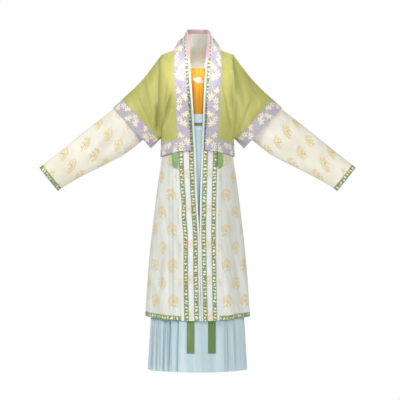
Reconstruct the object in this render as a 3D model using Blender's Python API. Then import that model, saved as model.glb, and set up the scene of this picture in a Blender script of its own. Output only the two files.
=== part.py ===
# Song-style hanfu set in its worn, hollow form: a short half-sleeved jacket over a long robe,
# with a camisole and a pleated skirt inside.
# Metres, +Z up, the front faces -Y, "left" is the side at -X. The origin is where the wearer's
# neck and shoulders hold the set.
#
# Every cloth piece is a grid of points: rows run from the top down, columns run across.
# A piece's outer points come from the shape of its layer, and its inner points lie one wall
# behind them, so neighbours that share an edge also share its mitre.

import math

import bpy
import numpy as np

# Cloth walls and the clearances between pieces
PANEL_WALL = 0.0016
BAND_WALL = 0.0018
RIBBON_WALL = 0.0012
TRIM_WALL = 0.0010
SEAM_GAP = 0.0003
LAY_GAP = 0.0004

LEFT, RIGHT = -1, 1
FRONT, BACK = -1, 1
# Ranks the two ends of a seam's step, so that both its sides choose the same diagonal
SEAM_RANK = np.array([1.0, 0.11, 0.37])


def table(columns, *rows):
    return {name: np.array([row[k] for row in rows], float) for k, name in enumerate(columns.split())}


def read(data, key, column, value):
    """A table's column at a value of its key column, on a smooth curve through the rows."""
    keys, values = data[key], data[column]
    if keys[0] > keys[-1]:
        keys, values = keys[::-1], values[::-1]
    slopes = np.gradient(values, keys)
    at = np.clip(value, keys[0], keys[-1])
    k = np.clip(np.searchsorted(keys, at) - 1, 0, len(keys) - 2)
    span = keys[k + 1] - keys[k]
    t = (at - keys[k]) / span
    return ((2 * t**3 - 3 * t**2 + 1) * values[k] + (t**3 - 2 * t**2 + t) * span * slopes[k]
            + (3 * t**2 - 2 * t**3) * values[k + 1] + (t**3 - t**2) * span * slopes[k + 1])


def smoothstep(low, high, value):
    t = np.clip((value - low) / (high - low), 0, 1)
    return t * t * (3 - 2 * t)


# The chest line, from which both coats slope back to the shoulder seam
CHEST_Z = -0.272
CAP_POWER = 3.0

# One row for each height: half the body's width (above the underarm the flare takes over) and
# half its depth from front to back
ROBE_BODY = table(
    "z half_width half_depth",
    (0.100, 0.138, 0.104),
    (0.000, 0.138, 0.109),
    (-0.100, 0.138, 0.111),
    (-0.200, 0.138, 0.109),
    (-0.272, 0.138, 0.107),
    (-0.350, 0.1395, 0.106),
    (-0.420, 0.1435, 0.107),
    (-0.460, 0.1490, 0.109),
    (-0.520, 0.1585, 0.114),
    (-0.600, 0.1690, 0.120),
    (-0.700, 0.1810, 0.129),
    (-0.800, 0.1920, 0.138),
    (-0.900, 0.2010, 0.147),
    (-1.000, 0.2080, 0.154),
    (-1.100, 0.2140, 0.160),
)
JACKET_BODY = table(
    "z half_width half_depth",
    (0.100, 0.148, 0.112),
    (0.000, 0.148, 0.117),
    (-0.100, 0.148, 0.119),
    (-0.200, 0.148, 0.118),
    (-0.350, 0.148, 0.116),
    (-0.390, 0.1495, 0.117),
    (-0.450, 0.1520, 0.119),
)

# The ridge from the neck to the armhole; inside the neck it only shapes the collar's foot
ROBE_RIDGE = table(
    "x z", (0.000, 0.105), (0.030, 0.088), (0.055, 0.043), (0.076, 0.0126), (0.107, 0.0006), (0.138, -0.0115))
JACKET_RIDGE = table(
    "x z", (0.000, 0.105), (0.030, 0.092), (0.060, 0.048), (0.0945, 0.0080), (0.120, -0.0019), (0.146, -0.0120))
ROBE_BACK_NECK = table("x z", (0.000, 0.025), (0.030, 0.0245), (0.055, 0.020), (0.076, 0.0126))
JACKET_BACK_NECK = table("x z", (0.000, 0.014), (0.040, 0.013), (0.070, 0.011), (0.0945, 0.0080))

# The seam between front panel and front band, and the band's free edge. The left and the right
# band meet just right of the middle below the V.
ROBE_SEAM = table(
    "z left right",
    (0.0126, -0.076, 0.076),
    (-0.020, -0.081, 0.082),
    (-0.070, -0.0895, 0.091),
    (-0.120, -0.0930, 0.0955),
    (-0.256, -0.0915, 0.0955),
    (-0.400, -0.0860, 0.0905),
    (-0.600, -0.0790, 0.0850),
    (-0.728, -0.0715, 0.0830),
    (-0.900, -0.0690, 0.0850),
    (-1.100, -0.0640, 0.0885),
)
ROBE_EDGE = table(
    "seam_z left right y z",
    (0.0126, -0.0405, 0.0425, 0.000, 0.0860),
    (-0.0100, -0.0375, 0.0405, -0.026, 0.0580),
    (-0.0300, -0.0355, 0.0385, -0.047, 0.0240),
    (-0.0550, -0.0335, 0.0360, -0.068, -0.0160),
    (-0.0850, -0.0300, 0.0320, -0.088, -0.0600),
    (-0.1250, -0.0265, 0.0290, -0.100, -0.1130),
    (-0.1800, -0.0215, 0.0255, -0.107, -0.1750),
    (-0.2560, -0.0160, 0.0220, -0.106, -0.2560),
    (-0.4000, -0.0080, 0.0165, -0.107, -0.4000),
    (-0.6000, -0.0010, 0.0100, -0.120, -0.6000),
    (-0.7280, 0.0072, 0.0086, -0.132, -0.7280),
    (-0.9000, 0.0100, 0.0114, -0.147, -0.9000),
    (-1.1000, 0.0150, 0.0164, -0.160, -1.1000),
)
ROBE_BACK_EDGE = table(
    "part x y z",
    (0.0, 0.0000, 0.0520, 0.0925),
    (0.4, 0.0240, 0.0450, 0.0920),
    (0.7, 0.0370, 0.0270, 0.0900),
    (1.0, 0.0415, 0.0000, 0.0860),
)
JACKET_SEAM = table(
    "z left right",
    (0.008, -0.0945, 0.0945),
    (-0.020, -0.0962, 0.0975),
    (-0.120, -0.0925, 0.0940),
    (-0.360, -0.0812, 0.0822),
    (-0.420, -0.0785, 0.0800),
)
JACKET_EDGE = table(
    "seam_z left right y z",
    (0.0080, -0.0660, 0.0660, 0.002, 0.0550),
    (-0.0200, -0.0620, 0.0625, -0.050, 0.0300),
    (-0.0550, -0.0540, 0.0550, -0.082, -0.0150),
    (-0.0900, -0.0480, 0.0490, -0.098, -0.0640),
    (-0.1400, -0.0440, 0.0455, -0.110, -0.1250),
    (-0.2000, -0.0395, 0.0415, -0.113, -0.1920),
    (-0.3000, -0.0330, 0.0355, -0.113, -0.2960),
    (-0.4200, -0.0255, 0.0290, -0.114, -0.4160),
)
JACKET_BACK_EDGE = table(
    "part x y z",
    (0.0, 0.0000, 0.0700, 0.0630),
    (0.4, 0.0370, 0.0610, 0.0620),
    (0.7, 0.0585, 0.0380, 0.0590),
    (1.0, 0.0660, 0.0020, 0.0550),
)

# Sleeves as flat-lying rings: the ring's top and bottom corner in the front view, half its depth
ROBE_SLEEVE = table(
    "part top_x top_z bottom_x bottom_z half_depth",
    (0.00, 0.1380, -0.0115, 0.1380, -0.2720, 0.066),
    (0.08, 0.1780, -0.0610, 0.1650, -0.3000, 0.063),
    (0.17, 0.2160, -0.1115, 0.1950, -0.3310, 0.059),
    (0.27, 0.2540, -0.1525, 0.2260, -0.3610, 0.055),
    (0.45, 0.3420, -0.2325, 0.3000, -0.4180, 0.047),
    (0.60, 0.4200, -0.2930, 0.3600, -0.4500, 0.040),
    (0.75, 0.4950, -0.3530, 0.4300, -0.4850, 0.034),
    (0.90, 0.5750, -0.4170, 0.5020, -0.5230, 0.029),
    (0.975, 0.6265, -0.4575, 0.5505, -0.5525, 0.026),
    (1.00, 0.6410, -0.4690, 0.5650, -0.5640, 0.025),
)
JACKET_SLEEVE = table(
    "part top_x top_z bottom_x bottom_z half_depth",
    (0.00, 0.1460, -0.0120, 0.1480, -0.3500, 0.090),
    (0.20, 0.1780, -0.0550, 0.1500, -0.3520, 0.084),
    (0.40, 0.2160, -0.1040, 0.1520, -0.3540, 0.077),
    (0.60, 0.2560, -0.1470, 0.1535, -0.3555, 0.071),
    (0.80, 0.3050, -0.1920, 0.1550, -0.3570, 0.065),
    (0.90, 0.3240, -0.2100, 0.1715, -0.3745, 0.062),
    (1.00, 0.3420, -0.2270, 0.1880, -0.3920, 0.060),
)

# Hanging folds of the robe: azimuth is 0 at the front's middle, 90 at the right side;
# plus is a ridge, minus a trough
ROBE_FOLDS = table(
    "azimuth spread top_z bottom_z depth",
    (-31, 7, -0.45, -0.80, -0.0070),
    (-46, 8, -0.48, -0.95, 0.0055),
    (-64, 8, -0.60, -1.00, -0.0045),
    (44, 8, -0.60, -1.00, 0.0045),
    (58, 8, -0.66, -1.05, -0.0050),
    (76, 8, -0.55, -1.05, 0.0040),
    (112, 9, -0.50, -1.00, -0.0055),
    (134, 9, -0.46, -1.00, 0.0065),
    (158, 9, -0.55, -1.05, -0.0060),
    (-108, 9, -0.52, -1.00, 0.0050),
    (-130, 9, -0.46, -0.95, -0.0065),
    (-154, 9, -0.56, -1.05, 0.0060),
)
# Drag folds in the front view, from a first to a last point
SLEEVE_FOLDS = table(
    "x_first z_first x_last z_last spread depth",
    (-0.088, -0.165, -0.140, -0.335, 0.013, -0.0040),
    (-0.112, -0.150, -0.146, -0.330, 0.011, 0.0045),
    (-0.165, -0.330, -0.262, -0.170, 0.016, 0.0050),
    (-0.152, -0.090, -0.156, -0.300, 0.012, -0.0045),
    (0.152, -0.040, 0.190, -0.190, 0.016, -0.0045),
    (0.120, -0.110, 0.146, -0.300, 0.013, 0.0045),
    (0.170, -0.335, 0.270, -0.185, 0.017, 0.0050),
    (-0.260, -0.330, -0.400, -0.410, 0.017, -0.0035),
    (-0.330, -0.290, -0.470, -0.440, 0.018, 0.0035),
    (0.270, -0.320, 0.390, -0.400, 0.017, 0.0035),
    (0.340, -0.290, 0.480, -0.430, 0.018, -0.0035),
)

# The bands' columns as parts of the width from the seam; the robe's are the edges of its strips
ROBE_SHARES = (0.0, 0.145, 0.385, 0.665, 0.905, 1.0)
JACKET_SHARES = (0.0, 0.5, 1.0)

# The two coats: their tables, their main sizes, their rows below the chest line as drops from it,
# their sleeves' rings, and the names and finishes of their pieces
ROBE = dict(
    body=ROBE_BODY, ridge=ROBE_RIDGE, back_neck=ROBE_BACK_NECK, neck_x=0.076, arm_x=0.138,
    underarm_z=CHEST_Z, flare=0.40, hem_side_z=-1.068, hem_front_z=-1.082, hem_back_z=-1.078,
    seam=ROBE_SEAM, edge=ROBE_EDGE, back_edge=ROBE_BACK_EDGE, band_shares=ROBE_SHARES, folds=ROBE_FOLDS,
    sleeve=ROBE_SLEEVE, sleeve_parts=(0, 0.08, 0.17, 0.27, 0.39, 0.51, 0.64, 0.77, 0.89, 0.975, 1.0),
    cuff_row=9, lower_drops=[0.778 * k / 11 for k in range(1, 12)], shoulder_columns=5, split_back=True,
    word="robe", collar_word="band", panel="robe_cloth", edging="foil_trim", collar="white_band")
JACKET = dict(
    body=JACKET_BODY, ridge=JACKET_RIDGE, back_neck=JACKET_BACK_NECK, neck_x=0.0945, arm_x=0.146,
    underarm_z=-0.350, flare=0.52, hem_side_z=-0.425, hem_front_z=-0.399, hem_back_z=-0.420,
    seam=JACKET_SEAM, edge=JACKET_EDGE, back_edge=JACKET_BACK_EDGE, band_shares=JACKET_SHARES, folds=None,
    sleeve=JACKET_SLEEVE, sleeve_parts=(0, 0.16, 0.32, 0.48, 0.64, 0.80, 0.90, 1.0),
    cuff_row=5, lower_drops=[0.040, 0.068, 0.078, 0.100], shoulder_columns=4, split_back=False,
    word="jacket", collar_word="collar", panel="green_satin", edging="lilac_band", collar="lilac_band")

# Rows above the chest line, closer together at the ridge
UPPER_STEPS = 8
NECK_COLUMNS = 3
# A band's free edge stands at most this far above its seam, and lies on the chest below these drops
EDGE_RISE = 0.074
EDGE_SETTLES = (0.10, 0.17)
# From this part of its length on, a sleeve's rings are ovals
SLEEVE_ROUNDS_BY = 0.7
# A drag fold needs this depth of sleeve, and keeps these parts of its depth from end to end
FOLD_ROOM = 0.035
FOLD_TAPER = (0.12, 0.88)

TRIM_OUTER_COLUMN, TRIM_INNER_COLUMN = 1, 3
BAND_CROWN = 0.0032
# The guard reaches over the free edge and this part of the inner strip
GUARD_SHARE = 0.45
GUARD_CLEAR = 0.0009
GUARD_END_Z = -0.042

# The short ties: from under the jacket's hem to their pointed ends
TIE_WIDTH = 0.021
TIE_END_Z, TIE_SWING = -0.472, 0.008
TIE_SHAPE = table("drop width swing", (0.42, 1, 0.4), (0.84, 1, 0.8), (1.0, 0.2, 1.0))
TIE_X = {"left": -0.0920, "right": 0.0925}

# Underneath: rings of half widths and half depths
CAMISOLE = table(
    "z half_width half_depth",
    (-0.072, 0.1160, 0.0800), (-0.120, 0.1210, 0.0920), (-0.180, 0.1230, 0.0965), (-0.240, 0.1216, 0.0956),
    (-0.282, 0.1216, 0.0956))
SKIRT = table(
    "z half_width half_depth",
    (-0.256, 0.1240, 0.0984),
    (-0.322, 0.1260, 0.0996),
    (-0.450, 0.1320, 0.1022),
    (-0.600, 0.1480, 0.1090),
    (-0.800, 0.1680, 0.1240),
    (-1.000, 0.1840, 0.1400),
    (-1.100, 0.1905, 0.1500),
    (-1.285, 0.2020, 0.1650),
)
WAIST_TOP_Z, WAIST_BOTTOM_Z, SKIRT_HEM_Z = -0.256, -0.322, -1.285
BELT_TOP_Z, BELT_BOTTOM_Z = -0.291, -0.303
PANEL_FROM, PANEL_TO = -22.8, 37.3
PLEATS_EACH_SIDE = 16
PLEAT_DEPTH_WAIST, PLEAT_DEPTH_HEM = 0.0022, 0.0060
# One knife pleat: parts of its width and of its depth
PLEAT_SHAPE = table("across depth", (0.08, 1.0), (0.55, 0.45), (1.0, 0.0))
SKIRT_STEPS = 7
PANEL_COLUMNS = 9
RIBBON_COLUMNS = 5
CAMISOLE_STEPS = 5
RING_COLUMNS = 28
RIBBON_END_Z = -1.210
RIBBON_X = {"left": (-0.0420, -0.0120), "right": (0.0420, 0.0720)}
RIBBON_LAY = 0.0008

COLOURS = {
    "green_satin": ((0.58, 0.56, 0.21), 0.45),
    "lilac_band": ((0.62, 0.56, 0.70), 0.70),
    "robe_cloth": ((0.80, 0.80, 0.74), 0.80),
    "white_band": ((0.86, 0.86, 0.84), 0.80),
    "foil_trim": ((0.62, 0.60, 0.36), 0.40),
    "pink_guard": ((0.78, 0.60, 0.64), 0.75),
    "orange_cloth": ((0.84, 0.44, 0.05), 0.60),
    "waist_cloth": ((0.60, 0.72, 0.78), 0.75),
    "skirt_cloth": ((0.50, 0.64, 0.66), 0.80),
    "green_ribbon": ((0.21, 0.33, 0.13), 0.60),
    "green_tie": ((0.30, 0.46, 0.17), 0.60),
}


# Shape of a coat layer

def half_width(layer, z):
    below = read(layer["body"], "z", "half_width", np.minimum(z, layer["underarm_z"]))
    return below + layer["flare"] * np.maximum(z - layer["underarm_z"], 0)


def surface_y(layer, x, z):
    """How far the layer's surface stands from the middle plane."""
    x = np.abs(x)
    ridge = read(layer["ridge"], "x", "z", x)
    climb = np.clip((z - CHEST_Z) / (ridge - CHEST_Z), 0, 1)
    cap = np.sqrt(np.clip(1 - climb**CAP_POWER, 0, 1))
    round_off = np.sqrt(np.clip(1 - (x / half_width(layer, z))**2, 0, 1))
    return read(layer["body"], "z", "half_depth", z) * round_off * cap


def hang_folds(layer, points):
    """Moves points in or out by the layer's hanging folds."""
    data = layer["folds"]
    if data is None:
        return points
    radius = np.hypot(points[..., 0], points[..., 1])
    azimuth = np.degrees(np.arctan2(points[..., 0], -points[..., 1]))
    push = np.zeros_like(radius)
    for k in range(len(data["azimuth"])):
        away = (azimuth - data["azimuth"][k] + 180) % 360 - 180
        grow = smoothstep(-data["top_z"][k], -data["bottom_z"][k], -points[..., 2])
        push += data["depth"][k] * grow * np.exp(-(away / data["spread"][k])**2)
    moved = points.copy()
    moved[..., :2] *= (1 + push / np.maximum(radius, 0.02))[..., None]
    return moved


def drag_folds(points, face):
    """Moves a face's points forward or back by the drag folds around the armholes."""
    data = SLEEVE_FOLDS
    moved = points.copy()
    for k in range(len(data["depth"])):
        first = np.array([data["x_first"][k], data["z_first"][k]])
        along = np.array([data["x_last"][k], data["z_last"][k]]) - first
        offset = points[..., [0, 2]] - first
        at = np.clip(offset @ along / (along @ along), 0, 1)
        away = np.linalg.norm(offset - at[..., None] * along, axis=-1)
        height = np.minimum(1, np.abs(points[..., 1]) / FOLD_ROOM)
        taper = np.sin(math.pi * (FOLD_TAPER[0] + (FOLD_TAPER[1] - FOLD_TAPER[0]) * at))
        moved[..., 1] += face * data["depth"][k] * height * taper * np.exp(-(away / data["spread"][k])**2)
    return moved


def row_levels(layer):
    """Heights of the rows from the ridge (1) over the chest line (0) to the hem (-1)."""
    upper = [(1 + math.cos(math.pi * k / UPPER_STEPS)) / 2 for k in range(UPPER_STEPS + 1)]
    drop = CHEST_Z - layer["hem_side_z"]
    return upper + [-lower / drop for lower in layer["lower_drops"]] + [-1.0]


def hem_z(layer, across, face):
    middle = layer["hem_front_z"] if face == FRONT else layer["hem_back_z"]
    return layer["hem_side_z"] + (middle - layer["hem_side_z"]) * (1 - across**2)


def side_x(layer, level):
    if level >= 0:
        z = CHEST_Z + level * (read(layer["ridge"], "x", "z", layer["arm_x"]) - CHEST_Z)
    else:
        z = CHEST_Z + level * (CHEST_Z - layer["hem_side_z"])
    if z > layer["underarm_z"] + 1e-6:
        return layer["arm_x"]
    return float(half_width(layer, z))


def body_grid(layer, side, face, levels, columns):
    """One quarter of the body: columns run from the front seam or the back's middle to the side."""
    grid = np.zeros((len(levels), len(columns), 3))
    for i, level in enumerate(levels):
        reach = side_x(layer, level)
        start = 0.0
        if face == FRONT:
            seam_z = CHEST_Z + level * ((read(layer["ridge"], "x", "z", layer["neck_x"]) - CHEST_Z)
                                        if level >= 0 else (CHEST_Z - layer["hem_front_z"]))
            seam_x = abs(read(layer["seam"], "z", "left" if side == LEFT else "right", seam_z))
            start = math.asin(min(seam_x / reach, 1))
        for j, column in enumerate(columns):
            x = reach * math.sin(start + column * (math.pi / 2 - start))
            if level >= 0:
                inside_neck = face == BACK and x < layer["neck_x"] - 1e-6
                top = read(layer["back_neck"] if inside_neck else layer["ridge"], "x", "z", x)
                z = CHEST_Z + level * (top - CHEST_Z)
            else:
                z = CHEST_Z + level * (CHEST_Z - hem_z(layer, x / reach, face))
            grid[i, j] = (side * x, face * surface_y(layer, x, z), z)
        if level == 1.0:
            outside = np.abs(grid[i, :, 0]) > layer["neck_x"] - 1e-6
            grid[i, outside, 1] = 0
        if level <= (layer["underarm_z"] - CHEST_Z) / (CHEST_Z - layer["hem_side_z"]) + 1e-9:
            grid[i, -1, 1] = 0
    return hang_folds(layer, grid)


def back_columns(layer):
    """Columns of a back quarter, with one that ends at the neck point."""
    shoulder_columns = layer["shoulder_columns"]
    neck = math.asin(layer["neck_x"] / layer["arm_x"]) / (math.pi / 2)
    inner = [neck * k / NECK_COLUMNS for k in range(NECK_COLUMNS)]
    outer = [neck + (1 - neck) * k / shoulder_columns for k in range(shoulder_columns + 1)]
    return inner + outer


def band_grid(layer, side, front, back):
    """The neck and front band, from its seam (first column) to its free edge (last column)."""
    shares = layer["band_shares"]
    seam = np.concatenate([back[0, :NECK_COLUMNS], front[:, 0]])
    name = "left" if side == LEFT else "right"
    rows = []
    for k in range(len(seam)):
        if k < NECK_COLUMNS:
            part = k / NECK_COLUMNS
            edge = np.array([side * read(layer["back_edge"], "part", "x", part),
                             read(layer["back_edge"], "part", "y", part),
                             read(layer["back_edge"], "part", "z", part)])
        else:
            z = seam[k, 2]
            edge = np.array([read(layer["edge"], "seam_z", name, z),
                             read(layer["edge"], "seam_z", "y", z),
                             read(layer["edge"], "seam_z", "z", z)])
            edge[2] = min(edge[2], z + EDGE_RISE)
            lower = hang_folds(layer, np.array([edge[0], -surface_y(layer, edge[0], edge[2]), edge[2]]))
            edge = edge + (lower - edge) * smoothstep(*EDGE_SETTLES, -z)
            if k == len(seam) - 1:
                edge[2] = hem_z(layer, abs(edge[0]) / half_width(layer, z), FRONT)
        rows.append((seam[k], edge))
    grid = np.array([[a + (b - a) * share for share in shares] for a, b in rows])
    across = np.array([b - a for a, b in rows])
    along = np.gradient(np.array([(a + b) / 2 for a, b in rows]), axis=0)
    out = np.cross(along, across)
    out[0, 0] = 0
    out /= np.linalg.norm(out, axis=1)[:, None]
    middle = (grid[:, 0] + grid[:, -1]) / 2
    turn = np.sign(np.sum(out * (middle * [1, 1, 0]), axis=1))
    crown = np.array([4 * share * (1 - share) for share in shares])
    return grid + BAND_CROWN * crown[None, :, None] * (out * turn[:, None])[:, None, :]


def sleeve_grid(layer, side, front, back):
    """A sleeve as rings: each runs from the underarm up the front and down the back."""
    sleeve = layer["sleeve"]
    low = int(np.argmin(np.abs(front[:, -1, 2] - layer["underarm_z"])))
    armhole = np.concatenate([front[low::-1, -1], back[1:low, -1]])
    faces = np.array([FRONT] * (low + 1) + [BACK] * (low - 1))
    top_z = armhole[low, 2]
    rise = (armhole[:, 2] - layer["underarm_z"]) / (top_z - layer["underarm_z"])
    worn = np.abs(armhole[:, 1]) / np.abs(armhole[:, 1]).max()
    oval = np.sqrt(np.clip(1 - (2 * rise - 1)**2, 0, 1))
    rings = [armhole]
    for part in layer["sleeve_parts"][1:]:
        top = np.array([side * read(sleeve, "part", "top_x", part), 0, read(sleeve, "part", "top_z", part)])
        low_point = np.array([side * read(sleeve, "part", "bottom_x", part), 0,
                              read(sleeve, "part", "bottom_z", part)])
        turn = smoothstep(0, SLEEVE_ROUNDS_BY, part)
        ring = low_point + rise[:, None] * (top - low_point)
        profile = worn + (oval - worn) * turn
        ring[:, 1] = faces * read(sleeve, "part", "half_depth", part) * profile
        rings.append(ring)
    return np.array(rings)


def fold_sleeve(grid):
    """Drag folds on both faces of a sleeve, none at its seam with the body."""
    folded = grid.copy()
    for face in (FRONT, BACK):
        pick = np.sign(grid[..., 1]) == face
        folded[pick] = drag_folds(grid, face)[pick]
    folded[0] = grid[0]
    return folded


# Solids from grids

def grid_normals(grid, inside, closed=False):
    """The grid turned so that its normals point away from the inside point, and its normals."""
    def raw(points):
        down = np.gradient(points, axis=0)
        if closed:
            across = (np.roll(points, -1, axis=1) - np.roll(points, 1, axis=1)) / 2
        else:
            across = np.gradient(points, axis=1)
        normal = np.cross(down, across)
        return normal / np.maximum(np.linalg.norm(normal, axis=2), 1e-12)[..., None]
    normal = raw(grid)
    i, j = grid.shape[0] // 2, grid.shape[1] // 3
    if np.dot(normal[i, j], grid[i, j] - inside) < 0:
        grid = grid[:, ::-1]
        normal = raw(grid)
    return grid, normal


class Piece:
    def __init__(self, name, grid, inside, wall, finish, closed=False, rows=None):
        self.name, self.wall, self.finish, self.closed = name, wall, finish, closed
        self.grid, self.normal = grid_normals(grid, np.array(inside), closed)
        if rows:
            self.grid, self.normal = self.grid[rows[0]:rows[1]], self.normal[rows[0]:rows[1]]


def share_normals(pieces):
    """Gives points that several pieces share one common normal, so that their mitres match.

    Tubes and open panels count alike, so the mitre of a sleeve with two panels halves their angle.
    """
    sums = {}
    for piece in pieces:
        for point, normal in zip(piece.grid.reshape(-1, 3), piece.normal.reshape(-1, 3)):
            both = sums.setdefault(tuple(np.round(point, 5)), np.zeros((2, 3)))
            both[int(piece.closed)] += normal
    for piece in pieces:
        flat = piece.normal.reshape(-1, 3).copy()
        for k, point in enumerate(piece.grid.reshape(-1, 3)):
            both = sums[tuple(np.round(point, 5))]
            total = (both / np.maximum(np.linalg.norm(both, axis=1), 1e-9)[:, None]).sum(axis=0)
            flat[k] = total / np.linalg.norm(total)
        piece.normal = flat.reshape(piece.grid.shape)


def pull_back(grid, normal, closed):
    """Moves the outline in by half a seam's gap, square to the seam and along the cloth."""
    moved = grid.copy()

    def step(edge, next_line, edge_normal, ring):
        ahead = np.roll(edge, -1, axis=0) - edge
        inward = next_line - edge
        square = np.cross(edge_normal + np.roll(edge_normal, -1, axis=0), ahead)
        square /= np.maximum(np.linalg.norm(square, axis=1), 1e-12)[:, None]
        square *= np.sign(np.sum(square * (inward + np.roll(inward, -1, axis=0)), axis=1))[:, None]
        before = np.roll(square, 1, axis=0)
        if not ring:
            square[-1], before[0] = square[-2], square[0]
        mitre = np.maximum(1 + np.sum(square * before, axis=1), 0.3)
        return (square + before) / mitre[:, None] * SEAM_GAP / 2

    moved[0] += step(grid[0], grid[1], normal[0], closed)
    moved[-1] += step(grid[-1], grid[-2], normal[-1], closed)
    if not closed:
        moved[:, 0] += step(grid[:, 0], grid[:, 1], normal[:, 0], False)
        moved[:, -1] += step(grid[:, -1], grid[:, -2], normal[:, -1], False)
    return moved


def add_object(name, vertices, faces, finish):
    mesh = bpy.data.meshes.new(name)
    mesh.from_pydata([tuple(v) for v in vertices], [], faces)
    mesh.validate()
    mesh.shade_smooth()
    mesh.set_sharp_from_angle(angle=math.radians(40))
    obj = bpy.data.objects.new(name, mesh)
    bpy.context.scene.collection.objects.link(obj)
    obj.data.materials.append(material(finish))
    return obj


def material(finish):
    if finish in bpy.data.materials:
        return bpy.data.materials[finish]
    made = bpy.data.materials.new(finish)
    made.use_nodes = True
    shader = made.node_tree.nodes["Principled BSDF"]
    colour, roughness = COLOURS[finish]
    shader.inputs["Base Color"].default_value = (*colour, 1)
    shader.inputs["Roughness"].default_value = roughness
    shader.inputs["Metallic"].default_value = 0.0
    return made


def shell_object(name, outer, inner, finish, closed=False):
    """A closed solid between an outer and an inner grid."""
    rows, columns = outer.shape[:2]
    count = rows * columns

    def at(i, j, layer):
        return layer * count + i * columns + j % columns

    faces = []
    last = columns if closed else columns - 1
    for i in range(rows - 1):
        for j in range(last):
            a, b, c, d = at(i, j, 0), at(i + 1, j, 0), at(i + 1, j + 1, 0), at(i, j + 1, 0)
            faces += [(a, b, c), (a, c, d)]
            faces += [(count + a, count + c, count + b), (count + a, count + d, count + c)]
    vertices = np.concatenate([outer.reshape(-1, 3), inner.reshape(-1, 3)])
    rank = np.abs(vertices) @ SEAM_RANK

    def rim(a, b, flip):
        """The two faces of a rim; both sides of a seam split it along the same diagonal."""
        c, d = b + count, a + count
        pair = [(a, b, c), (a, c, d)] if rank[a] > rank[b] else [(a, b, d), (b, c, d)]
        return [face[::-1] for face in pair] if flip else pair

    for j in range(last):
        faces += rim(at(0, j, 0), at(0, j + 1, 0), False)
        faces += rim(at(rows - 1, j, 0), at(rows - 1, j + 1, 0), True)
    if not closed:
        for i in range(rows - 1):
            faces += rim(at(i, 0, 0), at(i + 1, 0, 0), True)
            faces += rim(at(i, columns - 1, 0), at(i + 1, columns - 1, 0), False)
    return add_object(name, vertices, faces, finish)


def piece_object(piece):
    outer = pull_back(piece.grid, piece.normal, piece.closed)
    return shell_object(piece.name, outer, outer - piece.normal * piece.wall, piece.finish, piece.closed)


def band_columns(piece):
    """A band's column numbers counted from its seam, which lies lower than its free edge."""
    numbers = list(range(piece.grid.shape[1]))
    return numbers if piece.grid[0, 0, 2] < piece.grid[0, -1, 2] else numbers[::-1]


# The garments

def build_coat(layer):
    """A coat's panels, bands, hems, sleeves and cuffs, as pieces that share their seams."""
    word, columns = layer["word"], layer["shoulder_columns"]
    levels = row_levels(layer)
    hem = len(levels) - 2
    pieces, backs = {}, {}

    def add(name, grid, inside, finish, wall=PANEL_WALL, **rest):
        pieces[f"{word}_{name}"] = Piece(f"{word}_{name}", grid, inside, wall, layer[finish], **rest)

    for side, name in ((LEFT, "left"), (RIGHT, "right")):
        front = body_grid(layer, side, FRONT, levels, [k / columns for k in range(columns + 1)])
        back = body_grid(layer, side, BACK, levels, back_columns(layer))
        rings = fold_sleeve(sleeve_grid(layer, side, front, back))
        if layer is JACKET:
            armhole = front[:, -1].copy()
            front = drag_folds(front, FRONT)
            front[:, -1], front[0] = armhole, front[0] * [1, 0, 1]
        backs[name] = back
        inside = (0, 0, front[len(levels) // 2, 0, 2])
        add(f"front_{name}", front, inside, "panel", rows=(0, hem + 1))
        add(f"hem_front_{name}", front, inside, "edging", rows=(hem, None))
        band = band_grid(layer, side, front, back)
        add(f"{layer['collar_word']}_{name}", band, (0, 0, band[len(band) // 2, 0, 2]), "collar", BAND_WALL)
        inside = rings[len(rings) // 2].mean(axis=0)
        add(f"sleeve_{name}", rings, inside, "panel", closed=True, rows=(0, layer["cuff_row"] + 1))
        add(f"cuff_{name}", rings, inside, "edging", closed=True, rows=(layer["cuff_row"], None))
    whole = np.concatenate([backs["left"][:, :0:-1], backs["right"]], axis=1)
    inside = (0, 0, whole[len(levels) // 2, 0, 2])
    if layer["split_back"]:
        for name in ("left", "right"):
            add(f"back_{name}", backs[name], inside, "panel", rows=(0, hem + 1))
    else:
        add("back", whole, inside, "panel", rows=(0, hem + 1))
    add("hem_back", whole, inside, "edging", rows=(hem, None))
    share_normals(pieces.values())
    for piece in pieces.values():
        piece_object(piece)
    return pieces


def build_trims(pieces):
    """The gold strips use the band's own columns, moved out."""
    for name in ("left", "right"):
        band = pieces[f"robe_band_{name}"]
        columns = band_columns(band)
        for word, first in (("outer", TRIM_OUTER_COLUMN), ("inner", TRIM_INNER_COLUMN)):
            pair = sorted(columns[first:first + 2])
            points, normal = band.grid[:, pair], band.normal[:, pair]
            outer = pull_back(points, normal, False) + normal * (LAY_GAP + TRIM_WALL)
            shell_object(f"robe_trim_{word}_{name}", outer, outer - normal * TRIM_WALL, "foil_trim")


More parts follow.
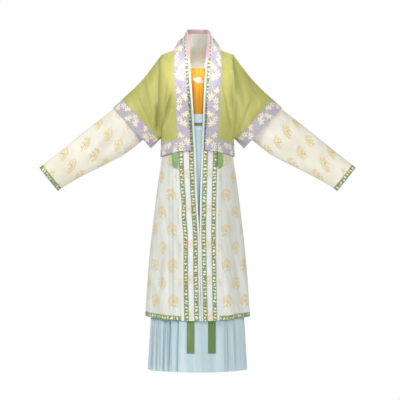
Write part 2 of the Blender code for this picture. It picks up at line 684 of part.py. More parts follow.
def build_guard(piece, name):
    """The guard folded over the band's free edge: a C-shaped section carried along the edge."""
    columns = band_columns(piece)
    grid, normal = piece.grid[:, columns], piece.normal[:, columns]
    rows = [k for k in range(len(grid)) if k <= NECK_COLUMNS or grid[k, -1, 2] > GUARD_END_Z]
    over = LAY_GAP + TRIM_WALL + GUARD_CLEAR
    under = BAND_WALL + GUARD_CLEAR
    vertices, faces = [], []
    for k in rows:
        strip = grid[k, -2] - grid[k, -3]
        back_in = grid[k, -2] - strip * GUARD_SHARE
        reach = grid[k, -1] - grid[k, -2]
        reach /= np.linalg.norm(reach)
        across = [back_in, grid[k, -2], grid[k, -1] + reach * LAY_GAP]
        tip = grid[k, -1] + reach * (LAY_GAP + TRIM_WALL)
        out = [normal[k, -2] + (normal[k, -3] - normal[k, -2]) * GUARD_SHARE, normal[k, -2], normal[k, -1]]
        far_side = [p + n * (over + TRIM_WALL) for p, n in zip(across[:2] + [tip], out)]
        near_side = [p - n * (under + TRIM_WALL) for p, n in zip(across[:2] + [tip], out)]
        hollow_near = [p - n * under for p, n in zip(across, out)]
        hollow_far = [p + n * over for p, n in zip(across, out)]
        start = np.zeros(3)
        if k == 0:
            start = (grid[1, -1] - grid[0, -1]) * [1, 0, 0]
            start *= SEAM_GAP / 2 / np.linalg.norm(start)
        section = far_side + near_side[::-1] + hollow_near + hollow_far[::-1]
        vertices += [point + start for point in section]
    n = len(section)
    for i in range(len(rows) - 1):
        for j in range(n):
            a, b = i * n + j, i * n + (j + 1) % n
            faces += [(a, b, b + n), (a, b + n, a + n)]
    loop = ((0, 1, 10, 11), (1, 2, 9, 10), (2, 3, 8, 9), (3, 4, 7, 8), (4, 5, 6, 7))
    ends = [(a, b, c) for a, b, c, d in loop] + [(a, c, d) for a, b, c, d in loop]
    far = (len(rows) - 1) * n
    faces += [(a, c, b) for a, b, c in ends] + [(far + a, far + b, far + c) for a, b, c in ends]
    if name == "left":
        faces = [face[::-1] for face in faces]
    add_object(f"robe_guard_{name}", vertices, faces, "pink_guard")


def build_ties(pieces):
    """The ties hang from inside the jacket's hem band, in front of the robe."""
    for name, middle in TIE_X.items():
        hem = pieces[f"jacket_hem_front_{name}"]
        inner = hem.grid - hem.normal * (hem.wall + SEAM_GAP)
        rows = []
        for line in inner:
            line = line[np.argsort(line[:, 0])]
            xs = middle + np.array([-0.5, 0, 0.5]) * TIE_WIDTH
            rows.append([[x, *(np.interp(x, line[:, 0], line[:, k]) for k in (1, 2))] for x in xs])
        low = rows[-1]
        for drop, width, swing in zip(TIE_SHAPE["drop"], TIE_SHAPE["width"], TIE_SHAPE["swing"]):
            z = low[1][2] + drop * (TIE_END_Z - low[1][2])
            rows.append([[middle + (x - middle) * width, y - TIE_SWING * swing, z] for x, y, _ in low])
        grid, normal = grid_normals(np.array(rows), np.array((0, 0, rows[0][0][2])))
        normal = normal * [1, 1, 0]
        normal /= np.linalg.norm(normal, axis=2)[..., None]
        shell_object(f"jacket_tie_{name}", grid, grid - normal * RIBBON_WALL, "green_tie")


# Underneath

def ring_point(data, azimuth, z, push=0.0):
    """A point on an oval ring; azimuth 0 is the front's middle and 90 the right side."""
    angle = math.radians(azimuth)
    wide = read(data, "z", "half_width", z) + push
    deep = read(data, "z", "half_depth", z) + push
    return np.array([wide * math.sin(angle), -deep * math.cos(angle), z])


def build_rings():
    azimuths = [360 * k / RING_COLUMNS for k in range(RING_COLUMNS)]

    def ring(name, data, heights, push, wall, finish):
        grid = np.array([[ring_point(data, azimuth, z, push) for azimuth in azimuths] for z in heights])
        grid, normal = grid_normals(grid, np.array((0, 0, heights[0])), closed=True)
        shell_object(name, grid, grid - normal * wall, finish, closed=True)

    top, bottom = CAMISOLE["z"][0], CAMISOLE["z"][-1]
    ring("camisole", CAMISOLE, np.linspace(top, bottom, CAMISOLE_STEPS + 1), 0, PANEL_WALL, "orange_cloth")
    ring("skirt_waistband", SKIRT, (WAIST_TOP_Z, WAIST_BOTTOM_Z), 0, BAND_WALL, "waist_cloth")
    ring("skirt_belt", SKIRT, (BELT_TOP_Z, BELT_BOTTOM_Z), LAY_GAP + RIBBON_WALL, RIBBON_WALL, "green_ribbon")


def skirt_levels():
    top = WAIST_BOTTOM_Z - SEAM_GAP
    return [top + (SKIRT_HEM_Z - top) * (k / SKIRT_STEPS) for k in range(SKIRT_STEPS + 1)]


def pleat_depth(z):
    part = (WAIST_BOTTOM_Z - z) / (WAIST_BOTTOM_Z - SKIRT_HEM_Z)
    return PLEAT_DEPTH_WAIST + (PLEAT_DEPTH_HEM - PLEAT_DEPTH_WAIST) * part


def build_skirt():
    levels = skirt_levels()
    inside = (0, 0, levels[SKIRT_STEPS // 2])
    azimuths = np.linspace(PANEL_FROM, PANEL_TO, PANEL_COLUMNS)
    panel = np.array([[ring_point(SKIRT, azimuth, z) for azimuth in azimuths] for z in levels])
    pieces = [Piece("skirt_front_panel", panel, inside, PANEL_WALL, "skirt_cloth")]
    for name, first, last in (("left", PANEL_FROM, -180.0), ("right", PANEL_TO, 180.0)):
        rows = []
        pleat = (last - first) / PLEATS_EACH_SIDE
        for z in levels:
            depth = pleat_depth(z)
            row = [ring_point(SKIRT, first, z)]
            for k in range(PLEATS_EACH_SIDE):
                row += [ring_point(SKIRT, first + pleat * (k + across), z, -depth * part)
                        for across, part in zip(PLEAT_SHAPE["across"], PLEAT_SHAPE["depth"])]
            rows.append(row)
        pieces.append(Piece(f"skirt_pleats_{name}", np.array(rows), inside, PANEL_WALL, "skirt_cloth"))
    share_normals(pieces)
    for piece in pieces:
        piece_object(piece)
    return panel


def build_ribbons(panel):
    """The belt's long ends, laid on the waistband and the skirt's front panel."""
    for name, (x_from, x_to) in RIBBON_X.items():
        xs = np.linspace(x_from, x_to, RIBBON_COLUMNS)
        rows = np.array([[(x, np.interp(x, row[:, 0], row[:, 1]), row[0, 2]) for x in xs] for row in panel])
        heights = rows[:, 0, 2]
        top = rows[0] * [1, 1, 0] + [0, 0, BELT_BOTTOM_Z - 2 * SEAM_GAP]
        kept = rows[heights > RIBBON_END_Z]
        last = np.array([[x, np.interp(-RIBBON_END_Z, -heights, rows[:, j, 1]), RIBBON_END_Z]
                         for j, x in enumerate(xs)])
        grid = np.concatenate([[top], kept, [last]])
        grid, normal = grid_normals(grid, np.array((0, 0, heights[SKIRT_STEPS // 2])))
        shell_object(f"skirt_ribbon_{name}", grid + normal * (RIBBON_LAY + RIBBON_WALL),
                     grid + normal * RIBBON_LAY, "green_ribbon")


def main():
    for old in list(bpy.data.objects):
        bpy.data.objects.remove(old, do_unlink=True)
    robe = build_coat(ROBE)
    build_trims(robe)
    for name in ("left", "right"):
        build_guard(robe[f"robe_band_{name}"], name)
    build_ties(build_coat(JACKET))
    build_rings()
    build_ribbons(build_skirt())


main()
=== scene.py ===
import math

import bpy
import numpy as np
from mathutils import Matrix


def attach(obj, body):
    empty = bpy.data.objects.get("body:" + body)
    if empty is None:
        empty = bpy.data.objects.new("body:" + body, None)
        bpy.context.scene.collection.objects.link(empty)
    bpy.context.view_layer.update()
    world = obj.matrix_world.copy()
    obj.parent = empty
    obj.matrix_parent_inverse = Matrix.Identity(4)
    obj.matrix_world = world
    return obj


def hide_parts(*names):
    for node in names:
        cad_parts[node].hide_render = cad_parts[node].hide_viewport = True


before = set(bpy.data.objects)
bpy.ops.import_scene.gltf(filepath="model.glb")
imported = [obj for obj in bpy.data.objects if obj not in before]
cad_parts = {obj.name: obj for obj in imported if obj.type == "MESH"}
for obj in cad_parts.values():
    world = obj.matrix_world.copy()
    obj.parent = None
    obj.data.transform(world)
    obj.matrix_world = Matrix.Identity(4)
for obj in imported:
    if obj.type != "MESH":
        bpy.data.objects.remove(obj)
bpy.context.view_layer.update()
print("stage: frame loaded")

# Metres, the front faces -Y, "left" is the side at -X. Every cloth is a grid of points whose rows
# run down and whose columns run across, and the outer and inner face are one wall apart.
leftSide, rightSide = -1, 1
frontFace, backFace = -1, 1
wall = dict(panel=0.0016, band=0.0018, ribbon=0.0012, trim=0.0010)
seamGap, layGap = 0.0003, 0.0004
chestZ = -0.272


def table(columns, *rows):
    return {name: np.array([row[k] for row in rows], float) for k, name in enumerate(columns.split())}


def read(data, key, column, value):
    # a smooth curve through the table's rows
    keys, values = data[key], data[column]
    if keys[0] > keys[-1]:
        keys, values = keys[::-1], values[::-1]
    slopes = np.gradient(values, keys)
    at = np.clip(value, keys[0], keys[-1])
    k = np.clip(np.searchsorted(keys, at) - 1, 0, len(keys) - 2)
    span = keys[k + 1] - keys[k]
    t = (at - keys[k]) / span
    return ((2 * t**3 - 3 * t**2 + 1) * values[k] + (t**3 - 2 * t**2 + t) * span * slopes[k]
            + (3 * t**2 - 2 * t**3) * values[k + 1] + (t**3 - t**2) * span * slopes[k + 1])


def smoothstep(low, high, value):
    t = np.clip((value - low) / (high - low), 0, 1)
    return t * t * (3 - 2 * t)


# ---- the two coats

robe = dict(
    word="robe", collarWord="band", neckX=0.076, armX=0.138, underarmZ=chestZ, flare=0.40,
    hemSideZ=-1.068, hemFrontZ=-1.082, hemBackZ=-1.078, capPower=3.0, bandCrown=0.0032,
    lowerDrops=[0.778 * k / 55 for k in range(1, 56)] + [0.787], hemDrop=0.778,
    bandShares=(0, 0.05, 0.10, 0.145, 0.205, 0.265, 0.325, 0.385, 0.45, 0.525, 0.60, 0.665, 0.725, 0.785, 0.845,
                0.905, 0.952, 1),
    firstPart=0.08, cuffPart=0.975, bandWide=0.075, splitBack=True,
    body=table(
        "z halfWidth halfDepth",
        (0.100, 0.138, 0.104), (0.000, 0.138, 0.109), (-0.100, 0.138, 0.111), (-0.200, 0.138, 0.109),
        (-0.272, 0.138, 0.107), (-0.350, 0.1395, 0.106), (-0.420, 0.1435, 0.107), (-0.460, 0.1490, 0.109),
        (-0.520, 0.1585, 0.114), (-0.600, 0.1690, 0.120), (-0.700, 0.1810, 0.129), (-0.800, 0.1920, 0.138),
        (-0.900, 0.2010, 0.147), (-1.000, 0.2080, 0.154), (-1.100, 0.2140, 0.160)),
    ridge=table("x z", (0.000, 0.105), (0.030, 0.088), (0.055, 0.043), (0.076, 0.0126), (0.107, 0.0006),
                (0.138, -0.0115)),
    backNeck=table("x z", (0.000, 0.025), (0.030, 0.0245), (0.055, 0.020), (0.076, 0.0126)),
    seam=table(
        "z left right",
        (0.0126, -0.076, 0.076), (-0.020, -0.081, 0.082), (-0.070, -0.0895, 0.091), (-0.120, -0.0930, 0.0955),
        (-0.256, -0.0915, 0.0955), (-0.400, -0.0860, 0.0905), (-0.600, -0.0790, 0.0850),
        (-0.728, -0.0715, 0.0830), (-0.900, -0.0690, 0.0850), (-1.100, -0.0640, 0.0885)),
    edge=table(
        "seamZ left right y z",
        (0.0126, -0.0405, 0.0425, 0.000, 0.0860), (-0.0100, -0.0375, 0.0405, -0.026, 0.0580),
        (-0.0300, -0.0355, 0.0385, -0.047, 0.0240), (-0.0550, -0.0335, 0.0360, -0.068, -0.0160),
        (-0.0850, -0.0300, 0.0320, -0.088, -0.0600), (-0.1250, -0.0265, 0.0290, -0.100, -0.1130),
        (-0.1800, -0.0215, 0.0255, -0.107, -0.1750), (-0.2560, -0.0160, 0.0220, -0.106, -0.2560),
        (-0.4000, -0.0080, 0.0165, -0.107, -0.4000), (-0.6000, -0.0010, 0.0100, -0.120, -0.6000),
        (-0.7280, 0.0072, 0.0086, -0.132, -0.7280), (-0.9000, 0.0100, 0.0114, -0.147, -0.9000),
        (-1.1000, 0.0150, 0.0164, -0.160, -1.1000)),
    backEdge=table("part x y z", (0.0, 0.0000, 0.0520, 0.0925), (0.4, 0.0240, 0.0450, 0.0920),
                   (0.7, 0.0370, 0.0270, 0.0900), (1.0, 0.0415, 0.0000, 0.0860)),
    sleeve=table(
        "part topX topZ bottomX bottomZ halfDepth",
        (0.00, 0.1380, -0.0115, 0.1380, -0.2720, 0.066), (0.08, 0.1780, -0.0610, 0.1650, -0.3000, 0.063),
        (0.17, 0.2160, -0.1115, 0.1950, -0.3310, 0.059), (0.27, 0.2540, -0.1525, 0.2260, -0.3610, 0.055),
        (0.45, 0.3420, -0.2325, 0.3000, -0.4180, 0.047), (0.60, 0.4200, -0.2930, 0.3600, -0.4500, 0.040),
        (0.75, 0.4950, -0.3530, 0.4300, -0.4850, 0.034), (0.90, 0.5750, -0.4170, 0.5020, -0.5230, 0.029),
        (0.975, 0.6265, -0.4575, 0.5505, -0.5525, 0.026), (1.00, 0.6410, -0.4690, 0.5650, -0.5640, 0.025)),
    sleeveParts=list(np.linspace(0, 0.08, 7)) + list(np.linspace(0.08, 0.975, 50)[1:]) + [0.983, 0.992, 1.0])

jacket = dict(
    word="jacket", collarWord="collar", neckX=0.0945, armX=0.146, underarmZ=-0.350, flare=0.52,
    hemSideZ=-0.425, hemFrontZ=-0.399, hemBackZ=-0.420, capPower=3.0, bandCrown=0.0032,
    lowerDrops=[0.020, 0.040, 0.054, 0.068, 0.073, 0.078, 0.089, 0.100, 0.113, 0.126, 0.140], hemDrop=0.100,
    bandShares=tuple(np.linspace(0, 1, 11)), firstPart=0.16, cuffPart=0.80, bandWide=0.050, splitBack=False,
    body=table(
        "z halfWidth halfDepth",
        (0.100, 0.148, 0.112), (0.000, 0.148, 0.117), (-0.100, 0.148, 0.119), (-0.200, 0.148, 0.118),
        (-0.350, 0.148, 0.116), (-0.390, 0.1495, 0.117), (-0.450, 0.1520, 0.119)),
    ridge=table("x z", (0.000, 0.105), (0.030, 0.092), (0.060, 0.048), (0.0945, 0.0080), (0.120, -0.0019),
                (0.146, -0.0120)),
    backNeck=table("x z", (0.000, 0.014), (0.040, 0.013), (0.070, 0.011), (0.0945, 0.0080)),
    seam=table("z left right", (0.008, -0.0945, 0.0945), (-0.020, -0.0962, 0.0975), (-0.120, -0.0925, 0.0940),
               (-0.360, -0.0812, 0.0822), (-0.420, -0.0785, 0.0800)),
    edge=table(
        "seamZ left right y z",
        (0.0080, -0.0660, 0.0660, 0.002, 0.0550), (-0.0200, -0.0620, 0.0625, -0.050, 0.0300),
        (-0.0550, -0.0540, 0.0550, -0.082, -0.0150), (-0.0900, -0.0480, 0.0490, -0.098, -0.0640),
        (-0.1400, -0.0440, 0.0455, -0.110, -0.1250), (-0.2000, -0.0395, 0.0415, -0.113, -0.1920),
        (-0.3000, -0.0330, 0.0355, -0.113, -0.2960), (-0.4200, -0.0255, 0.0290, -0.114, -0.4160)),
    backEdge=table("part x y z", (0.0, 0.0000, 0.0700, 0.0630), (0.4, 0.0370, 0.0610, 0.0620),
                   (0.7, 0.0585, 0.0380, 0.0590), (1.0, 0.0660, 0.0020, 0.0550)),
    sleeve=table(
        "part topX topZ bottomX bottomZ halfDepth",
        (0.00, 0.1460, -0.0120, 0.1480, -0.3500, 0.090), (0.20, 0.1780, -0.0550, 0.1500, -0.3520, 0.084),
        (0.40, 0.2160, -0.1040, 0.1520, -0.3540, 0.077), (0.60, 0.2560, -0.1470, 0.1535, -0.3555, 0.071),
        (0.80, 0.3050, -0.1920, 0.1550, -0.3570, 0.065), (0.90, 0.3240, -0.2100, 0.1715, -0.3745, 0.062),
        (1.00, 0.3420, -0.2270, 0.1880, -0.3920, 0.060)),
    sleeveParts=list(np.linspace(0, 0.80, 33)) + list(np.linspace(0.80, 1, 9)[1:]))

upperSteps, neckColumns, shoulderColumns, frontColumns = 24, 12, 20, 20

# Folds, given one by one. Hanging folds: the azimuth is 0 at the front's middle and 90 at the right
# side, plus is a ridge. The last rows are the sharper creases between the main folds.
hangingFolds = table(
    "azimuth spread topZ bottomZ depth",
    (-31, 7, -0.45, -0.80, -0.0070), (-46, 8, -0.48, -0.95, 0.0055), (-64, 8, -0.60, -1.00, -0.0045),
    (44, 8, -0.60, -1.00, 0.0045), (58, 8, -0.66, -1.05, -0.0050), (76, 8, -0.55, -1.05, 0.0040),
    (112, 9, -0.50, -1.00, -0.0055), (134, 9, -0.46, -1.00, 0.0065), (158, 9, -0.55, -1.05, -0.0060),
    (-108, 9, -0.52, -1.00, 0.0050), (-130, 9, -0.46, -0.95, -0.0065), (-154, 9, -0.56, -1.05, 0.0060),
    (-36.5, 2.1, -0.39, -0.52, -0.0052), (-33.0, 2.0, -0.39, -0.56, 0.0034), (-55, 3.0, -0.62, -0.98, -0.0020),
    (-72, 3.4, -0.52, -0.92, 0.0022), (-81, 3.0, -0.70, -1.02, -0.0018), (36, 3.2, -0.70, -1.04, -0.0020),
    (51, 3.0, -0.78, -1.05, 0.0020), (66, 3.2, -0.50, -0.90, -0.0021), (83, 3.2, -0.62, -1.04, -0.0017),
    (98, 3.4, -0.56, -0.96, 0.0023), (123, 3.6, -0.48, -0.90, -0.0022), (145, 3.4, -0.60, -1.02, 0.0021),
    (168, 3.2, -0.50, -0.98, 0.0018), (-97, 3.2, -0.60, -1.00, -0.0020), (-119, 3.6, -0.50, -0.88, 0.0022),
    (-142, 3.4, -0.58, -1.04, 0.0018), (-166, 3.4, -0.48, -0.94, -0.0021))

# Drag folds in the front view, from a first to a last point; face 0 is front and back alike
dragFolds = table(
    "xFirst zFirst xLast zLast spread depth face",
    (-0.088, -0.165, -0.140, -0.335, 0.013, -0.0040, 0), (-0.112, -0.150, -0.146, -0.330, 0.011, 0.0045, 0),
    (-0.165, -0.330, -0.262, -0.170, 0.016, 0.0050, 0), (-0.152, -0.090, -0.156, -0.300, 0.012, -0.0045, 0),
    (0.152, -0.040, 0.190, -0.190, 0.016, -0.0045, 0), (0.120, -0.110, 0.146, -0.300, 0.013, 0.0045, 0),
    (0.170, -0.335, 0.270, -0.185, 0.017, 0.0050, 0), (-0.260, -0.330, -0.400, -0.410, 0.017, -0.0035, 0),
    (-0.330, -0.290, -0.470, -0.440, 0.018, 0.0035, 0), (0.270, -0.320, 0.390, -0.400, 0.017, 0.0035, 0),
    (0.340, -0.290, 0.480, -0.430, 0.018, -0.0035, 0),
    (-0.148, -0.190, -0.147, -0.352, 0.0055, -0.0036, -1), (-0.132, -0.200, -0.131, -0.340, 0.0070, 0.0016, -1), (-0.078, -0.135, -0.136, -0.345, 0.0055, -0.0028, -1),
    (-0.100, -0.120, -0.128, -0.270, 0.0050, 0.0014, -1), (-0.160, -0.345, -0.206, -0.205, 0.0060, -0.0020, -1),
    (-0.176, -0.350, -0.286, -0.222, 0.0065, -0.0018, -1), (-0.214, -0.120, -0.226, -0.260, 0.0070, 0.0016, -1),
    (0.148, -0.050, 0.192, -0.215, 0.0060, -0.0036, -1), (0.104, -0.150, 0.142, -0.330, 0.0050, -0.0017, -1),
    (0.162, -0.350, 0.214, -0.215, 0.0065, -0.0019, -1), (0.190, -0.352, 0.298, -0.238, 0.0060, 0.0016, -1),
    (0.222, -0.110, 0.240, -0.250, 0.0070, -0.0015, -1),
    (-0.300, -0.300, -0.380, -0.420, 0.0080, -0.0018, -1), (-0.400, -0.330, -0.500, -0.480, 0.0080, -0.0016, -1),
    (0.300, -0.300, 0.372, -0.425, 0.0080, -0.0018, -1), (0.410, -0.330, 0.520, -0.485, 0.0080, 0.0016, -1),
    (-0.440, -0.420, -0.560, -0.480, 0.0090, 0.0016, 0), (0.450, -0.400, 0.580, -0.470, 0.0090, -0.0015, 0),
    (-0.060, -0.060, -0.150, -0.200, 0.0120, 0.0024, 1), (0.050, -0.050, 0.146, -0.230, 0.0130, -0.0024, 1),
    (-0.100, -0.090, -0.150, -0.330, 0.0070, -0.0018, 1), (0.104, -0.120, 0.150, -0.340, 0.0070, 0.0018, 1),
    (-0.190, -0.340, -0.270, -0.200, 0.0070, 0.0018, 1), (0.180, -0.330, 0.290, -0.215, 0.0070, -0.0018, 1),
    (-0.020, -0.080, -0.028, -0.340, 0.0140, -0.0022, 1), (0.034, -0.120, 0.040, -0.360, 0.0120, 0.0020, 1))


def halfWidth(layer, z):
    below = read(layer["body"], "z", "halfWidth", np.minimum(z, layer["underarmZ"]))
    return below + layer["flare"] * np.maximum(z - layer["underarmZ"], 0)


def surfaceY(layer, x, z):
    # how far the layer stands from the middle plane
    x = np.abs(x)
    ridge = read(layer["ridge"], "x", "z", x)
    climb = np.clip((z - chestZ) / (ridge - chestZ), 0, 1)
    cap = np.sqrt(np.clip(1 - climb**layer["capPower"], 0, 1))
    roundOff = np.sqrt(np.clip(1 - (x / halfWidth(layer, z))**2, 0, 1))
    return read(layer["body"], "z", "halfDepth", z) * roundOff * cap


def hang(layer, points):
    if layer is not robe:
        return points
    radius = np.hypot(points[..., 0], points[..., 1])
    azimuth = np.degrees(np.arctan2(points[..., 0], -points[..., 1]))
    push = np.zeros_like(radius)
    for azimuthAt, spread, topZ, bottomZ, depth in zip(*hangingFolds.values()):
        away = (azimuth - azimuthAt + 180) % 360 - 180
        push += depth * smoothstep(-topZ, -bottomZ, -points[..., 2]) * np.exp(-(away / spread)**2)
    push *= np.where(push > 0, foldGain["hangOut"], foldGain["hangIn"])
    moved = points.copy()
    moved[..., :2] *= (1 + push / np.maximum(radius, 0.02))[..., None]
    return moved


foldGain = dict(jacketOut=1.7, jacketIn=1.5, underIn=1.5, sleeve=2.1, hangOut=1.7, hangIn=1.4)


def drag(layer, points):
    # depends on the place alone, so pieces that share a seam keep sharing it
    push = np.zeros(points.shape[:-1])
    face = np.sign(points[..., 1])
    height = np.clip(np.abs(points[..., 1]) / 0.035, 0, 1)
    for xFirst, zFirst, xLast, zLast, spread, depth, only in zip(*dragFolds.values()):
        first = np.array([xFirst, zFirst])
        along = np.array([xLast, zLast]) - first
        offset = points[..., [0, 2]] - first
        at = np.clip(offset @ along / (along @ along), 0, 1)
        away = np.linalg.norm(offset - at[..., None] * along, axis=-1)
        taper = np.sin(math.pi * (0.12 + 0.76 * at))
        faceShare = 1 if only == 0 else (face == only)
        push += depth * height * taper * np.exp(-(away / spread)**2) * faceShare
    if layer is jacket:
        push *= np.where(push > 0, foldGain["jacketOut"], foldGain["jacketIn"])
    else:
        beyondCuff = (np.abs(points[..., 0]) - 0.265) * 0.777 - (points[..., 2] + 0.31) * 0.629
        nested = np.where(push > 0, 1, foldGain["underIn"])      # under the jacket it gives way with it
        push *= nested + (foldGain["sleeve"] - nested) * smoothstep(0.01, 0.06, beyondCuff)
    moved = points.copy()
    moved[..., 1] += face * push
    return moved


def rowLevels(layer):
    # from the ridge (1) over the chest line (0) to the hem (-1)
    upper = [(1 + math.cos(math.pi * k / upperSteps)) / 2 for k in range(upperSteps + 1)]
    drop = chestZ - layer["hemSideZ"]
    return upper + [-lower / drop for lower in layer["lowerDrops"]] + [-1.0]


def hemZ(layer, across, face):
    middle = layer["hemFrontZ"] if face == frontFace else layer["hemBackZ"]
    return layer["hemSideZ"] + (middle - layer["hemSideZ"]) * (1 - across**2)


def sideX(layer, level):
    if level >= 0:
        z = chestZ + level * (read(layer["ridge"], "x", "z", layer["armX"]) - chestZ)
    else:
        z = chestZ + level * (chestZ - layer["hemSideZ"])
    return layer["armX"] if z > layer["underarmZ"] + 1e-6 else float(halfWidth(layer, z))


def bodyGrid(layer, side, face, levels, columns):
    # one quarter of the body, from the front seam or the back's middle to the side
    columns = np.array(columns)
    grid = np.zeros((len(levels), len(columns), 3))
    for i, level in enumerate(levels):
        reach, start = sideX(layer, level), 0.0
        if face == frontFace:
            if level >= 0:
                seamZ = chestZ + level * (read(layer["ridge"], "x", "z", layer["neckX"]) - chestZ)
            else:
                seamZ = chestZ + level * (chestZ - layer["hemFrontZ"])
            seamX = abs(read(layer["seam"], "z", "left" if side == leftSide else "right", seamZ))
            start = math.asin(min(seamX / reach, 1))
        x = reach * np.sin(start + columns * (math.pi / 2 - start))
        if level >= 0:
            top = read(layer["ridge"], "x", "z", x)
            if face == backFace:
                top = np.where(x < layer["neckX"] - 1e-6, read(layer["backNeck"], "x", "z", x), top)
            z = chestZ + level * (top - chestZ)
        else:
            z = chestZ + level * (chestZ - hemZ(layer, x / reach, face))
        grid[i] = np.stack([side * x, face * surfaceY(layer, x, z), z], axis=-1)
        if level == 1.0:
            grid[i, np.abs(grid[i, :, 0]) > layer["neckX"] - 1e-6, 1] = 0
        if level <= (layer["underarmZ"] - chestZ) / (chestZ - layer["hemSideZ"]) + 1e-9:
            grid[i, -1, 1] = 0
    return hang(layer, grid)


def bandGrid(layer, side, front, back):
    # from the band's seam (first column) to its free edge (last column)
    seam = np.concatenate([back[0, :neckColumns], front[:, 0]])
    name = "left" if side == leftSide else "right"
    edges = []
    for k in range(len(seam)):
        if k < neckColumns:
            part = k / neckColumns
            edge = np.array([side * read(layer["backEdge"], "part", "x", part),
                             read(layer["backEdge"], "part", "y", part),
                             read(layer["backEdge"], "part", "z", part)])
        else:
            z = seam[k, 2]
            edge = np.array([read(layer["edge"], "seamZ", column, z) for column in (name, "y", "z")])
            edge[2] = min(edge[2], z + 0.074)
            lower = hang(layer, np.array([edge[0], -surfaceY(layer, edge[0], edge[2]), edge[2]]))
            edge = edge + (lower - edge) * smoothstep(0.10, 0.17, -z)
            if k == len(seam) - 1:
                edge[2] = hemZ(layer, abs(edge[0]) / halfWidth(layer, z), frontFace)
        edges.append(edge)
    edges = np.array(edges)
    shares = np.array(layer["bandShares"])
    grid = seam[:, None] + (edges - seam)[:, None] * shares[None, :, None]
    out = np.cross(np.gradient((seam + edges) / 2, axis=0), edges - seam)
    out[0, 0] = 0
    out /= np.linalg.norm(out, axis=1)[:, None]
    middle = (grid[:, 0] + grid[:, -1]) / 2
    turn = np.sign(np.sum(out * (middle * [1, 1, 0]), axis=1))
    crown = 4 * shares * (1 - shares)
    return grid + layer["bandCrown"] * crown[None, :, None] * (out * turn[:, None])[:, None, :]


def sleeveGrid(layer, side, front, back):
    # rings that run from the underarm up the front and down the back
    sleeve = layer["sleeve"]
    low = int(np.argmin(np.abs(front[:, -1, 2] - layer["underarmZ"])))
    armhole = np.concatenate([front[low::-1, -1], back[1:low, -1]])
    faces = np.array([frontFace] * (low + 1) + [backFace] * (low - 1))
    rise = (armhole[:, 2] - layer["underarmZ"]) / (armhole[low, 2] - layer["underarmZ"])
    worn = np.abs(armhole[:, 1]) / np.abs(armhole[:, 1]).max()
    oval = np.sqrt(np.clip(1 - (2 * rise - 1)**2, 0, 1))
    rings = []
    for part in layer["sleeveParts"]:
        top = np.array([side * read(sleeve, "part", "topX", part), 0, read(sleeve, "part", "topZ", part)])
        low = np.array([side * read(sleeve, "part", "bottomX", part), 0, read(sleeve, "part", "bottomZ", part)])
        ring = low + rise[:, None] * (top - low)
        profile = worn + (oval - worn) * smoothstep(0, 0.7, part)
        ring[:, 1] = faces * read(sleeve, "part", "halfDepth", part) * profile
        rings.append(ring)
    rings = np.array(rings)
    for k, part in enumerate(layer["sleeveParts"]):
        rings[k] += (armhole - rings[0]) * (1 - smoothstep(0, layer["firstPart"], part)) if k else 0
    rings[0] = armhole
    return rings


# ---- shells from grids

def gridNormals(grid, inside, closed=False):
    # says whether the columns have to be turned so that the normals point away from the inside
    def raw(points):
        down = np.gradient(points, axis=0)
        if closed:
            across = (np.roll(points, -1, axis=1) - np.roll(points, 1, axis=1)) / 2
        else:
            across = np.gradient(points, axis=1)
        normal = np.cross(down, across)
        return normal / np.maximum(np.linalg.norm(normal, axis=2), 1e-12)[..., None]
    normal = raw(grid)
    turned = np.sum(normal * (grid - inside) * [1, 1, 0]) < 0
    if turned:
        grid = grid[:, ::-1]
        normal = raw(grid)
    return grid, normal, turned


def arcs(grid, closed=False, chestRow=0):
    # metres across each row and up along each column, the chest row at 0
    ring = np.concatenate([grid, grid[:, :1]], axis=1) if closed else grid
    across = np.zeros(ring.shape[:2])
    across[:, 1:] = np.cumsum(np.linalg.norm(np.diff(ring, axis=1), axis=2), axis=1)
    along = np.zeros(ring.shape[:2])
    along[1:] = np.cumsum(np.linalg.norm(np.diff(ring, axis=0), axis=2), axis=0)
    return np.stack([across, along[chestRow] - along], axis=-1)


class Cloth:
    def __init__(self, name, grid, inside, thick, finish, closed=False, rows=None, pattern=None, chestRow=0):
        self.name, self.thick, self.finish, self.closed = name, thick, finish, closed
        flat = arcs(grid, closed, chestRow) if pattern is None else pattern
        self.grid, self.normal, turned = gridNormals(grid, np.array(inside), closed)
        self.flat = flat[:, ::-1] if turned else flat
        if rows:
            pick = slice(*rows)
            self.grid, self.normal, self.flat = self.grid[pick], self.normal[pick], self.flat[pick]


def shareNormals(pieces):
    sums = {}
    for piece in pieces:
        for point, normal in zip(piece.grid.reshape(-1, 3), piece.normal.reshape(-1, 3)):
            both = sums.setdefault(tuple(np.round(point, 5).tolist()), np.zeros((2, 3)))
            both[int(piece.closed)] += normal
    for piece in pieces:
        both = np.array([sums[tuple(point)] for point in np.round(piece.grid.reshape(-1, 3), 5).tolist()])
        total = (both / np.maximum(np.linalg.norm(both, axis=2), 1e-9)[..., None]).sum(axis=1)
        piece.normal = (total / np.linalg.norm(total, axis=1)[:, None]).reshape(piece.grid.shape)


